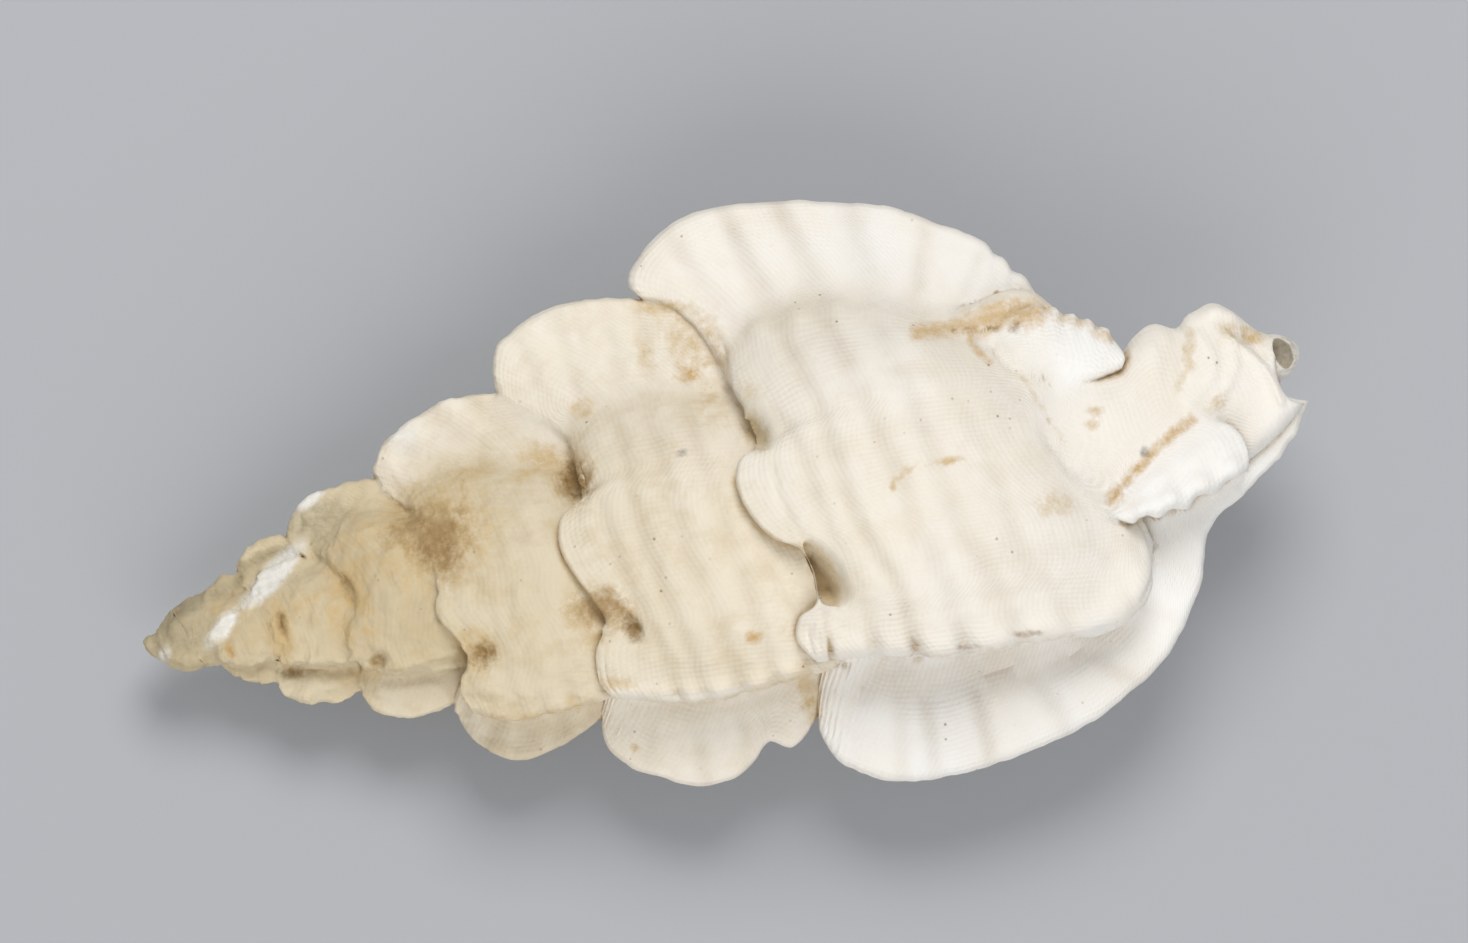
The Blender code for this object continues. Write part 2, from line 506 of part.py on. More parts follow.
def aperture_oval(count, grow=0.0):
    """Points round the aperture's oval, in u and v."""
    turn = np.linspace(0, 2 * math.pi, count, endpoint=False)
    a = (APERTURE_SIZE[0] / 2 + grow) * np.cos(turn)
    b = (APERTURE_SIZE[1] / 2 + grow) * np.sin(turn)
    u = APERTURE_CENTRE[0] + a * math.cos(APERTURE_SLANT) - b * math.sin(APERTURE_SLANT)
    v = APERTURE_CENTRE[1] + a * math.sin(APERTURE_SLANT) + b * math.cos(APERTURE_SLANT)
    return np.stack([u, v], axis=1)


def peristome(collection, count=20, sides=6):
    """The raised lip round the aperture: a closed ring."""
    rings = []
    for place in aperture_oval(count, PERISTOME_OUT):
        out = place - np.array(APERTURE_CENTRE)
        out /= np.linalg.norm(out)
        base = PERISTOME_LEVEL - PERISTOME_FALL * (place[0] - APERTURE_CENTRE[0])
        turn = np.linspace(0, 2 * math.pi, sides, endpoint=False)
        aside = place + out * PERISTOME_RADIUS * np.cos(turn)[:, None]
        rings.append(np.column_stack([aside, -base + PERISTOME_HEIGHT * np.sin(turn)]))
    return rings_body("peristome", rings, collection, closed=True)


def build_cutters(collection):
    """The throat of the aperture, the canal's groove and the bore of its end, and the two deep pits."""
    sides = 24
    rings = [np.column_stack([aperture_oval(sides, grow), np.full(sides, depth)]) for depth, grow in THROAT]
    cutters = [rings_body("throat", rings, collection)]
    steps = 14
    cutters.append(tube("groove", smooth_curve(GROOVE, steps), [GROOVE_RADIUS] * steps, collection, sides=8,
                        squash=GROOVE_FLATNESS))
    cutters.append(tube("bore", [place[:3] for place in BORE], [place[3] for place in BORE], collection,
                        sides=12, squash=BORE_FLATNESS))
    for i, outline in enumerate(PITS):
        loop = np.array(outline)
        brink = np.array([loop[:, 0].min(), loop[:, 1].mean()])
        rings = [np.column_stack([brink + (loop - brink) * share, np.full(len(loop), w)])
                 for w, share in PIT_LEVELS]
        cutters.append(rings_body(f"pit_{i}", rings, collection))
    return cutters


def combine(target, others, operation):
    """Join the others to the target, or cut them out of it, one at a time."""
    for other in others:
        step = target.modifiers.new(other.name, "BOOLEAN")
        step.operation = operation
        step.solver = "MANIFOLD"
        step.object = other


def evaluated_mesh(target):
    """The mesh that an object's modifiers make."""
    graph = bpy.context.evaluated_depsgraph_get()
    return bpy.data.meshes.new_from_object(target.evaluated_get(graph))


def fill_voids(mesh):
    """Keep the outer surface alone: the small sealed gaps between the plates inside are filled."""
    work = bmesh.new()
    work.from_mesh(mesh)
    waiting = set(work.verts)
    islands = []
    while waiting:
        island = set()
        edge = [waiting.pop()]
        while edge:
            vertex = edge.pop()
            island.add(vertex)
            beside = {link.other_vert(vertex) for link in vertex.link_edges} & waiting
            waiting -= beside
            edge.extend(beside)
        islands.append(island)
    outside = max(islands, key=len)
    bmesh.ops.delete(work, geom=[vertex for vertex in work.verts if vertex not in outside], context="VERTS")
    work.to_mesh(mesh)
    work.free()


def lay_down(mesh):
    """Turn the shell onto its aperture side, with its lowest points just below the ground."""
    mesh.transform(Matrix.Rotation(REST_TILT, 4, "Y") @ Matrix.Rotation(REST_ROLL, 4, "X"))
    points = np.array([vertex.co for vertex in mesh.vertices])
    low = points.min(axis=0)
    middle = (low + points.max(axis=0)) / 2
    mesh.transform(Matrix.Translation((-middle[0], -middle[1], -low[2] - FLAT_DEPTH * MM)))


def shell_material():
    """Chalky white."""
    material = bpy.data.materials.new("chalky_shell")
    material.use_nodes = True
    surface = material.node_tree.nodes["Principled BSDF"]
    surface.inputs["Base Color"].default_value = WHITE
    surface.inputs["Roughness"].default_value = 0.75
    surface.inputs["Metallic"].default_value = 0.0
    return material


def main():
    for old in list(bpy.data.objects):
        bpy.data.objects.remove(old, do_unlink=True)
    parts = bpy.data.collections.new("aspella_hildrunae_shell")
    cutting = bpy.data.collections.new("cutters")
    bpy.context.scene.collection.children.link(parts)
    bpy.context.scene.collection.children.link(cutting)

    growth = build_core(cutting) + build_growth(cutting)
    hollows = build_cutters(cutting)
    combine(growth[0], growth[1:], "UNION")
    combine(growth[0], hollows, "DIFFERENCE")
    mesh = evaluated_mesh(growth[0])
    for piece in growth + hollows:
        bpy.data.objects.remove(piece, do_unlink=True)
    fill_voids(mesh)
    lay_down(mesh)
    mesh.name = "shell"
    mesh.materials.clear()
    mesh.materials.append(shell_material())
    mesh.shade_smooth()
    shell = bpy.data.objects.new("shell", mesh)
    parts.objects.link(shell)

    long, wide, deep = GROUND_SIZE
    corners = np.array([(x * long / 2, y * wide / 2, z * deep) for x in (-1, 1) for y in (-1, 1)
                        for z in (-1, 0)])
    sides = [(0, 1, 3, 2), (4, 6, 7, 5), (0, 4, 5, 1), (2, 3, 7, 6), (0, 2, 6, 4), (1, 5, 7, 3)]
    ground = body("ground", corners, sides, cutting)
    ground.hide_render = True
    ground.display_type = "WIRE"
    combine(shell, [ground], "DIFFERENCE")


main()
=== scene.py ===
"""Looks of the aspella hildrunae shell: the fine chalky surface of one small white murex.

The shell is set out in its own frame, in millimetres, as its solid is. u runs from the apex to the
end of the canal, v runs to the side and w stands up towards the back of the shell. Every half turn
is a domed plate and every flange a thin one. The plates are made on fine grids with their cords,
riblets, scalloped edges and dents, joined into one surface, worn a little, and laid down.
"""
import math

import bmesh
import bpy
import numpy as np
from mathutils import Matrix, Vector, noise
from mathutils.bvhtree import BVHTree
from mathutils.kdtree import KDTree


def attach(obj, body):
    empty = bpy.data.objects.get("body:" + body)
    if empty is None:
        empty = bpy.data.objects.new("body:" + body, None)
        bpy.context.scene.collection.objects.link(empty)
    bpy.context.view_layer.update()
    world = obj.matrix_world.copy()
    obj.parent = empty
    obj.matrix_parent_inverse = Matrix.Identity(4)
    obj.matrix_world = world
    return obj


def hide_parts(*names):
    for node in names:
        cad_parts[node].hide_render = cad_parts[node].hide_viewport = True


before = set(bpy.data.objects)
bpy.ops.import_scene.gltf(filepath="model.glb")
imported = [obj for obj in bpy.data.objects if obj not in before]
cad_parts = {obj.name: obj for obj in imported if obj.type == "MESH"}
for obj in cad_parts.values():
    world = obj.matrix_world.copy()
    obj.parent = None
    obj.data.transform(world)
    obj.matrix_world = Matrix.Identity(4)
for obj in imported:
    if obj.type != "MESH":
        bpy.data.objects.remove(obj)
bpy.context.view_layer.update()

MM = 0.001

# Growth, the same as in the solid
TURN_SHRINK = 0.69
HIDDEN_TURNS = 5
DOME_LIP = 0.06
RIM_LIP = 0.11
BACK_DEPTH = 0.3
FRONT_DEPTH = 0.3
APERTURE_DEPTH = 0.2
CANAL_DEPTH = 0.1
UNDERCUT = 0.05
WAIST = 0.1
CREST_FLARE = 0.05
FAN_HEIGHT = 0.05

# Aperture
APERTURE_CENTRE = (8.5, -1.1)
APERTURE_SIZE = (2.2, 1.3)
APERTURE_SLANT = math.radians(14)
PERISTOME_RADIUS = 0.13
PERISTOME_LEVEL = 1.3
GROOVE_RADIUS = 0.09

# Rest
REST_TILT = math.radians(-5.5)
REST_ROLL = math.radians(4.0)
FLAT_DEPTH = 0.06

# Fine surface
PITCH = 0.037                # spacing of the grid on the last turn
EDGE_CROWDING = 0.55         # how much closer the grid lines are at a plate's edges
CORD_HEIGHT = 0.045          # spiral cords, as the depth of the darker valleys between them
CREST_BUMP = 0.17            # cord ends, as bumps along a dome's last edge
START_BUMP = 0.07            # the same where a dome comes out of the flange before it
SCALLOP = 0.075              # how far the bumps push the last edge out
RIBLET_HEIGHT = 0.014        # fine riblets on the lobes nearest the apex
RIBLET_PITCH = 0.09
RIM_WOBBLE = 0.025           # how far a flange's rim strays from its outline
POST_YELLOW = 0.12           # how much yellower and darker a dome is where it comes out from under the turn before
CREST_HIGHLIGHT = 0.13           # how much whiter its crest is painted: a painted highlight on the bulge that faces the light
CREVICE_REACH = 0.2

# Photo: the view straight down on the shell's back, the axis rising to the right
PHOTO_TILT = math.radians(12)
PHOTO_CENTRE = (6.432, 0.434)
PHOTO_WIDTH = 15.534
LENS = 400.0
SENSOR = 36.0

# Back of the shell: one dome for each half turn, the last turn first. start is the edge that comes
# out of the flange before it, end is the crest above the flange after it, post lies on the turn
# before it and front faces the canal. crown is the height along u, at the top of the arch. age is
# how yellow and worn the surface is.
BACK_DOMES = (
    dict(start=[(6.6, 1.75), (7.15, 2.0), (7.85, 2.0), (8.45, 1.8), (9.0, 1.45)],
         end=[(6.85, -1.7), (7.6, -1.8), (8.2, -1.95), (9.2, -2.0), (9.9, -2.05), (10.4, -1.8),
              (10.62, -1.2)],
         post=[(6.52, 1.4), (6.62, 1.03), (6.7, 0.65), (6.52, 0.56), (6.42, 0.3), (6.5, -0.05),
               (6.68, -0.34), (6.95, -0.52), (7.02, -0.85), (6.98, -1.1), (6.77, -1.22), (6.7, -1.45)],
         front=[(9.6, 1.0), (10.1, 0.3), (10.45, -0.5)],
         crown=[(6.3, 1.5), (7.2, 1.74), (8.0, 1.82), (8.8, 1.7), (9.5, 1.4), (10.1, 1.05), (10.7, 0.86)],
         bands=[([(7.05, -1.15), (7.04, -1.4), (7.02, -1.85)], 0.04, 0.6),
                ([(6.84, 0.4), (6.84, 0.1), (6.93, -0.2), (7.02, -0.48)], 0.035, 0.5),
                ([(6.95, 1.0), (7.1, 0.75), (7.18, 0.3), (7.22, -0.1), (7.3, -0.5), (7.42, -0.9), (7.48, -1.4),
                  (7.5, -1.95)], 0.08, 0.6),
                ([(7.15, 2.1), (7.25, 1.75), (7.32, 1.4), (7.42, 1.05), (7.48, 0.6), (7.5, 0.3), (7.55, -0.1),
                  (7.65, -0.5), (7.78, -0.85), (7.88, -1.2), (7.93, -1.95)], 0.075, 1.0),
                ([(7.65, 2.1), (7.75, 1.65), (7.87, 1.2), (7.97, 0.75), (8.05, 0.35), (8.14, -0.1), (8.17, -0.5),
                  (8.27, -0.85), (8.36, -1.2), (8.45, -1.95)], 0.1, 0.8),
                ([(8.15, 2.0), (8.28, 1.4), (8.4, 0.9), (8.5, 0.4), (8.58, -0.1), (8.65, -0.6), (8.78, -1.05),
                  (8.92, -1.45), (9.06, -2.0)], 0.11, 0.6),
                ([(8.7, 1.7), (8.8, 1.1), (8.93, 0.6), (9.07, 0.2), (9.15, -0.4), (9.25, -1.0), (9.45, -1.5),
                  (9.62, -2.05)], 0.09, 0.35),
                ([(9.15, 1.15), (9.35, 0.8), (9.52, 0.4), (9.68, 0.05), (9.8, -0.4), (10.0, -1.0), (10.15, -1.5),
                  (10.3, -2.0)], 0.09, 0.22)],
         front_drop=(0.3, 0.9), age=0.19),
    dict(start=[(4.76, 1.12), (5.1, 1.38), (5.85, 1.4), (6.9, 1.2)],
         end=[(4.67, -1.63), (4.95, -1.72), (5.45, -1.87), (6.05, -1.9), (7.1, -1.82)],
         post=[(4.75, 0.8), (4.8, 0.5), (4.55, 0.36), (4.46, 0.1), (4.52, -0.2), (4.66, -0.52),
               (4.78, -0.85), (4.62, -1.1), (4.58, -1.4)],
         front=[(7.4, 0.1), (7.6, -1.0)],
         crown=[(4.4, 1.1), (5.2, 1.3), (6.0, 1.4), (6.8, 1.36), (7.6, 1.2)],
         bands=[([(4.98, 0.45), (5.03, 0.0), (5.08, -0.4), (5.18, -0.8), (5.3, -1.2), (5.38, -1.85)], 0.075, 0.8),
                ([(5.28, 1.4), (5.35, 0.9), (5.33, 0.4), (5.36, 0.0), (5.42, -0.4), (5.5, -0.9), (5.6, -1.4),
                  (5.66, -1.95)], 0.075, 1.0),
                ([(5.63, 1.45), (5.7, 0.9), (5.72, 0.4), (5.76, 0.0), (5.82, -0.45), (5.9, -0.95), (6.0, -1.5),
                  (6.05, -1.95)], 0.1, 0.9),
                ([(6.08, 1.4), (6.12, 0.8), (6.18, 0.3), (6.24, -0.2), (6.3, -0.7), (6.36, -1.2), (6.42, -1.95)],
                 0.085, 0.8),
                ([(6.38, 0.5), (6.4, 0.0), (6.5, -0.4), (6.62, -0.8), (6.75, -1.3), (6.8, -1.9)], 0.06, 0.4)],
         size=0.72, riblets=0.22, age=0.42),
    dict(start=[(2.95, 0.9), (3.4, 1.1), (4.0, 1.05), (4.9, 0.8)],
         end=[(3.17, -1.47), (3.55, -1.66), (4.0, -1.68), (4.85, -1.62)],
         post=[(3.02, 0.4), (3.11, -0.1), (3.05, -0.4), (3.2, -0.7), (3.24, -0.95), (3.12, -1.22)],
         front=[(5.1, 0.1), (5.2, -0.9)],
         crown=[(2.8, 0.72), (3.5, 0.9), (4.2, 1.02), (5.3, 0.98)],
         bands=[([(3.5, 0.3), (3.52, -0.2), (3.6, -0.6), (3.66, -1.1), (3.7, -1.75)], 0.07, 0.6),
                ([(3.8, 0.9), (3.78, 0.3), (3.8, -0.3), (3.84, -0.9), (3.95, -1.75)], 0.07, 0.7),
                ([(4.08, 1.0), (4.06, 0.4), (4.12, -0.1), (4.18, -0.6), (4.24, -1.2), (4.3, -1.75)], 0.07, 0.7)],
         size=0.5, age=0.66),
    dict(start=[(1.85, 0.62), (2.2, 0.85), (2.7, 0.85), (3.3, 0.6)],
         end=[(2.15, -0.8), (2.5, -0.95), (2.9, -1.0), (3.4, -1.0)],
         post=[(2.1, 0.25), (2.2, -0.1), (2.05, -0.45)],
         front=[(3.5, 0.1), (3.55, -0.5)],
         crown=[(1.9, 0.5), (2.5, 0.64), (3.0, 0.7), (3.6, 0.68)],
         size=0.36, cords=3, age=0.84),
    dict(start=[(1.15, 0.3), (1.45, 0.5), (1.8, 0.5), (2.3, 0.4)],
         end=[(1.33, -0.57), (1.6, -0.68), (1.95, -0.72), (2.4, -0.7)],
         post=[(1.24, 0.05), (1.3, -0.25)],
         front=[(2.45, -0.1)],
         crown=[(1.1, 0.33), (1.6, 0.42), (2.0, 0.47), (2.5, 0.46)],
         size=0.26, cords=2, age=0.88),
    dict(start=[(0.6, 0.12), (0.85, 0.28), (1.1, 0.3), (1.5, 0.2)],
         end=[(0.72, -0.45), (0.95, -0.52), (1.2, -0.52), (1.55, -0.5)],
         post=[(0.62, -0.15)],
         front=[(1.6, -0.1)],
         crown=[(0.5, 0.24), (0.9, 0.29), (1.6, 0.33)],
         size=0.18, cords=2, age=0.9),
)

# Aperture side: the half turn that ends in the first top flange, repeated smaller towards the apex
FRONT_DOME = dict(
    start=[(4.65, -1.5), (5.4, -1.75), (6.3, -1.8), (7.4, -1.7)],
    end=[(6.1, 1.6), (6.7, 1.85), (7.6, 1.95), (8.6, 1.8), (9.7, 1.15)],
    post=[(5.05, -0.9), (4.95, -0.3), (5.2, 0.4), (5.75, 0.95)],
    front=[(8.6, -0.9), (9.6, 0.1)],
    crown=[(4.4, 1.18), (5.4, 1.4), (6.4, 1.58), (7.4, 1.64), (8.4, 1.5), (9.8, 1.05)],
    cords=7, age=0.2)

# Aperture side: the part of the last half turn that carries the aperture
APERTURE_DOME = dict(
    start=[(6.95, -1.85), (7.8, -2.1), (9.0, -2.05), (10.3, -1.5)],
    end=[(7.0, -0.15), (8.0, 0.2), (9.2, 0.35), (10.6, 0.5)],
    post=[(6.8, -1.4), (6.85, -0.7)],
    front=[(10.6, -0.9), (10.75, -0.2)],
    crown=[(6.8, 1.25), (7.6, 1.42), (8.4, 1.42), (9.3, 1.25), (10.1, 0.9), (10.8, 0.6)],
    arch=(0.55, 0.5, 0.6), front_drop=(0.15, 0.5), age=0.05)

# Flanges. back is the height of the upper face at its root and at its rim, face that of the lower
TOP_FLANGES = (
    dict(start=[(6.7, 0.9), (7.4, 1.0), (8.2, 1.0), (9.0, 0.8), (9.6, 0.5)],
         end=[(5.85, 2.4), (5.75, 2.65), (6.0, 2.95), (6.45, 3.18), (7.1, 3.2), (7.9, 3.05), (8.6, 2.85),
              (9.1, 2.55), (9.38, 2.37), (9.56, 2.24), (9.61, 2.12), (9.72, 2.03), (9.76, 1.9), (9.88, 1.82),
              (9.93, 1.68), (10.02, 1.5), (10.1, 1.3), (10.2, 1.1), (10.3, 0.95)],
         post=[(6.5, 1.4), (6.48, 1.7), (6.25, 2.2)],
         front=[(10.1, 0.7)],
         bands=[([(6.75, 1.9), (6.6, 2.3), (6.4, 2.7), (6.25, 3.1)], 0.09, 0.5),
                ([(7.2, 1.8), (7.12, 2.2), (7.02, 2.6), (6.88, 3.2)], 0.09, 1.0),
                ([(7.7, 1.8), (7.65, 2.25), (7.58, 2.6), (7.45, 3.2)], 0.1, 1.0),
                ([(8.2, 1.8), (8.22, 2.2), (8.2, 2.6), (8.17, 3.1)], 0.14, 0.8),
                ([(8.7, 1.7), (8.8, 2.1), (8.92, 2.4), (9.0, 2.7)], 0.07, 0.9),
                ([(9.1, 1.6), (9.3, 1.9), (9.6, 2.3)], 0.06, 0.5)],
         back=(0.5, 0.24), face=(-0.7, -0.02), riblets=0.1, age=0.13),
    dict(start=[(4.9, 0.8), (5.3, 0.9), (6.0, 0.9), (6.8, 0.9)],
         end=[(4.15, 1.68), (4.15, 2.0), (4.3, 2.3), (4.85, 2.53), (5.55, 2.5), (6.4, 2.25)],
         post=[(4.76, 1.1), (4.6, 1.3), (4.4, 1.45)],
         front=[(6.7, 1.6)],
         bands=[([(4.72, 1.3), (4.62, 1.7), (4.5, 2.3)], 0.06, 0.4),
                ([(5.02, 1.3), (4.98, 1.8), (4.92, 2.6)], 0.07, 0.5),
                ([(5.42, 1.3), (5.45, 1.9), (5.45, 2.6)], 0.08, 0.5),
                ([(5.74, 1.3), (5.78, 1.8), (5.84, 2.5)], 0.07, 0.5)],
         back=(0.42, 0.2), face=(-0.55, 0.0), size=0.75, riblets=0.5, age=0.27),
    dict(start=[(3.2, 0.5), (3.6, 0.6), (4.3, 0.6), (5.1, 0.6)],
         end=[(2.75, 1.0), (2.7, 1.3), (3.0, 1.6), (3.55, 1.8), (4.1, 1.78), (4.5, 1.7)],
         post=[(2.95, 0.75)],
         front=[(5.0, 1.2)],
         back=(0.32, 0.16), face=(-0.4, 0.0), size=0.55, cords=5, age=0.33),
    dict(start=[(2.0, 0.25), (2.5, 0.35), (3.1, 0.35)],
         end=[(1.68, 0.6), (1.65, 0.85), (1.8, 1.02), (2.1, 1.17), (2.6, 1.16), (2.9, 1.1)],
         post=[(1.85, 0.45)],
         front=[(3.1, 0.8)],
         back=(0.24, 0.13), face=(-0.28, 0.0), size=0.42, cords=3, age=0.75),
    dict(start=[(1.2, 0.15), (1.5, 0.2), (1.8, 0.2)],
         end=[(1.05, 0.35), (1.1, 0.65), (1.45, 0.8), (1.75, 0.7)],
         post=[(1.1, 0.25)],
         front=[(1.8, 0.4)],
         back=(0.17, 0.1), face=(-0.19, 0.0), size=0.32, cords=2, age=0.8),
    dict(start=[(0.7, 0.05), (0.95, 0.1), (1.2, 0.1)],
         end=[(0.64, 0.2), (0.68, 0.38), (0.95, 0.5), (1.2, 0.42)],
         post=[(0.66, 0.12)],
         front=[(1.22, 0.25)],
         back=(0.12, 0.08), face=(-0.13, -0.02), size=0.25, cords=1, age=0.9),
)

BOTTOM_FLANGES = (
    dict(start=[(7.0, -1.2), (8.0, -1.3), (9.3, -1.2), (10.3, -0.6), (11.3, -0.1), (12.2, 0.1)],
         end=[(6.8, -2.0), (6.75, -2.5), (7.0, -2.93), (7.6, -3.18), (8.55, -3.18), (9.65, -2.93),
              (10.5, -2.45), (11.0, -1.8), (11.25, -1.2), (11.75, -0.88), (12.25, -0.5), (12.55, -0.1)],
         post=[(6.85, -1.7)],
         front=[(12.35, -0.02)],
         bands=[([(7.55, -1.7), (7.65, -2.15), (7.6, -2.5), (7.5, -3.1)], 0.07, 0.5),
                ([(7.7, -1.7), (7.88, -2.25), (7.9, -2.6), (7.84, -3.2)], 0.075, 1.0),
                ([(8.36, -1.7), (8.45, -2.3), (8.47, -2.7), (8.45, -3.2)], 0.085, 1.0),
                ([(8.9, -1.7), (9.06, -2.25), (9.2, -2.6), (9.36, -3.1)], 0.1, 0.8),
                ([(9.45, -1.7), (9.7, -2.15), (9.9, -2.4), (10.2, -2.7)], 0.1, 0.7),
                ([(10.1, -1.5), (10.45, -1.85), (10.8, -2.2)], 0.08, 0.4),
                # This last band is the channel under the last turn's crest: it lowers the flange there, and its darker
                # tint is painted shade under the crest.
                ([(7.35, -2.0), (7.8, -2.1), (8.6, -2.14), (9.4, -2.12), (10.0, -1.95)], 0.17, 1.5)],
         back=(0.7, 0.1), face=(-0.7, -0.1), riblets=0.33, age=0.04,
         taper=[(0.0, 1.0), (0.3, 1.0), (0.55, 0.8), (0.75, 0.45), (1.0, 0.16)]),
    dict(start=[(4.8, -1.0), (5.3, -1.2), (6.0, -1.2), (7.0, -1.2)],
         end=[(4.55, -1.65), (4.5, -2.05), (4.65, -2.35), (4.95, -2.55), (5.4, -2.76), (5.85, -2.72),
              (6.2, -2.45), (6.45, -2.56), (6.75, -2.3)],
         post=[(4.65, -1.4)],
         front=[(6.95, -1.8)],
         bands=[([(5.08, -1.6), (5.0, -2.1), (4.85, -2.6)], 0.07, 0.5),
                ([(5.5, -1.6), (5.5, -2.2), (5.46, -2.8)], 0.08, 0.7),
                ([(5.95, -1.6), (5.97, -2.2), (5.96, -2.8)], 0.08, 0.6),
                # This last band is the channel under the crest above it: it lowers the flange there, and its darker
                # tint is painted shade.
                ([(4.9, -1.76), (5.5, -1.94), (6.2, -1.96), (6.9, -1.9)], 0.09, 1.0)],
         back=(0.62, 0.08), face=(-0.5, -0.08), size=0.75, riblets=0.7, age=0.24),
    dict(start=[(3.4, -0.9), (3.8, -1.0), (4.2, -1.0), (4.7, -1.0)],
         end=[(3.0, -1.42), (3.15, -1.8), (3.45, -2.05), (3.75, -2.1), (4.15, -2.0), (4.6, -1.8)],
         post=[(3.1, -1.2)],
         front=[(4.7, -1.5)],
         back=(0.55, 0.06), face=(-0.36, -0.06), size=0.55, cords=5, riblets=0.2, age=0.5),
    dict(start=[(2.3, -0.5), (2.7, -0.6), (3.3, -0.6)],
         end=[(2.06, -0.95), (2.15, -1.25), (2.5, -1.4), (2.9, -1.38), (3.3, -1.22)],
         post=[(2.12, -0.75)],
         front=[(3.42, -0.9)],
         back=(0.4, 0.07), face=(-0.26, -0.06), size=0.42, cords=3, age=0.62),
    dict(start=[(1.4, -0.3), (1.7, -0.35), (2.15, -0.35)],
         end=[(1.22, -0.72), (1.3, -0.93), (1.55, -1.07), (1.9, -1.09), (2.22, -1.0)],
         post=[(1.28, -0.5)],
         front=[(2.28, -0.65)],
         back=(0.28, 0.06), face=(-0.19, -0.05), size=0.32, cords=2, age=0.74),
    dict(start=[(0.8, -0.15), (1.05, -0.2), (1.38, -0.2)],
         end=[(0.7, -0.48), (0.8, -0.6), (1.1, -0.73), (1.4, -0.74)],
         post=[(0.74, -0.3)],
         front=[(1.43, -0.45)],
         back=(0.2, 0.06), face=(-0.14, -0.05), size=0.25, cords=1, age=0.9),
)

# Canal side: the neck with its open canal, the old canal beside it, the canal's part of the crest,
# and the wedge of sand between the old canal and the last turn
CANAL_PLATES = dict(
    neck=dict(start=[(9.0, 1.2), (9.6, 0.9), (10.2, 0.84), (10.66, 0.8), (10.84, 0.94), (11.08, 1.04),
                     (11.31, 0.95), (11.55, 1.07), (11.75, 1.14), (11.94, 1.01), (12.19, 0.73), (12.46, 0.61)],
              end=[(9.2, -1.2), (10.0, -1.1), (10.9, -0.85), (11.5, -0.7), (12.1, -0.42), (12.5, -0.12)],
              post=[(9.05, 0.2), (9.1, -0.7)],
              front=[(12.3, 0.45), (12.27, 0.15), (12.36, -0.04)],
              crown=[(9.0, 1.3), (9.6, 1.22), (10.3, 0.98), (11.0, 0.72), (11.8, 0.5), (12.5, 0.36)],
              arch=(0.3, 0.45, 0.5), belly=0.55, age=0.14),
    old_canal=dict(start=[(9.2, 1.3), (9.5, 1.44), (9.9, 1.5), (10.0, 1.42), (10.09, 1.44), (10.18, 1.33),
                          (10.26, 1.34), (10.36, 1.24), (10.43, 1.25), (10.51, 1.13), (10.58, 1.12),
                          (10.68, 0.9)],
                   end=[(9.3, 1.08), (9.42, 0.86), (9.65, 0.67), (10.0, 0.6), (10.35, 0.58), (10.66, 0.64)],
                   post=[(9.2, 1.2)],
                   front=[(10.73, 0.75)],
                   crown=[(9.0, 0.98), (9.8, 0.92), (10.4, 0.78), (10.8, 0.66)],
                   arch=(0.7, 0.55, 0.93), size=0.8, age=0.06),
    wedge=dict(start=[(8.6, 1.6), (9.11, 1.62), (9.56, 1.7), (9.9, 1.66), (10.2, 1.3)],
               end=[(8.66, 1.4), (9.06, 1.2), (9.4, 1.1), (9.8, 1.1), (10.1, 1.1)],
               post=[(8.6, 1.5)],
               front=[(10.2, 1.2)],
               crown=[(8.6, 0.78), (9.2, 0.74), (9.7, 0.62), (10.2, 0.5)],
               arch=(0.75, 0.5, 0.95), size=0.7, age=0.3),
    crest_canal=dict(start=[(10.2, -0.76), (10.42, -0.56), (10.8, -0.27), (11.2, -0.06), (11.4, -0.02)],
                     end=[(10.3, -0.92), (10.45, -0.98), (10.57, -0.91), (10.72, -0.99), (10.87, -0.91),
                          (11.03, -0.96), (11.18, -0.82), (11.35, -0.86), (11.53, -0.75), (11.76, -0.68)],
                     post=[(10.22, -0.85)],
                     front=[(11.68, -0.18), (11.8, -0.42)],
                     crown=[(10.1, 0.78), (10.35, 0.88), (10.65, 0.97), (11.2, 0.88), (11.8, 0.7)],
                     arch=(0.75, 0.7, 0.9), size=0.8, age=0.02),
)

# The two deep pits where the last turn bridges the turn before it
PITS = (
    [(6.64, 1.02), (6.8, 1.02), (6.87, 0.69), (6.7, 0.62)],
    [(6.98, -0.5), (7.1, -0.54), (7.21, -0.79), (7.29, -1.12), (7.05, -1.1), (7.03, -0.8)],
)
PIT_LEVELS = ((2.3, 1.2), (1.6, 1.1), (1.48, 1.0), (1.3, 0.74), (1.14, 0.5))

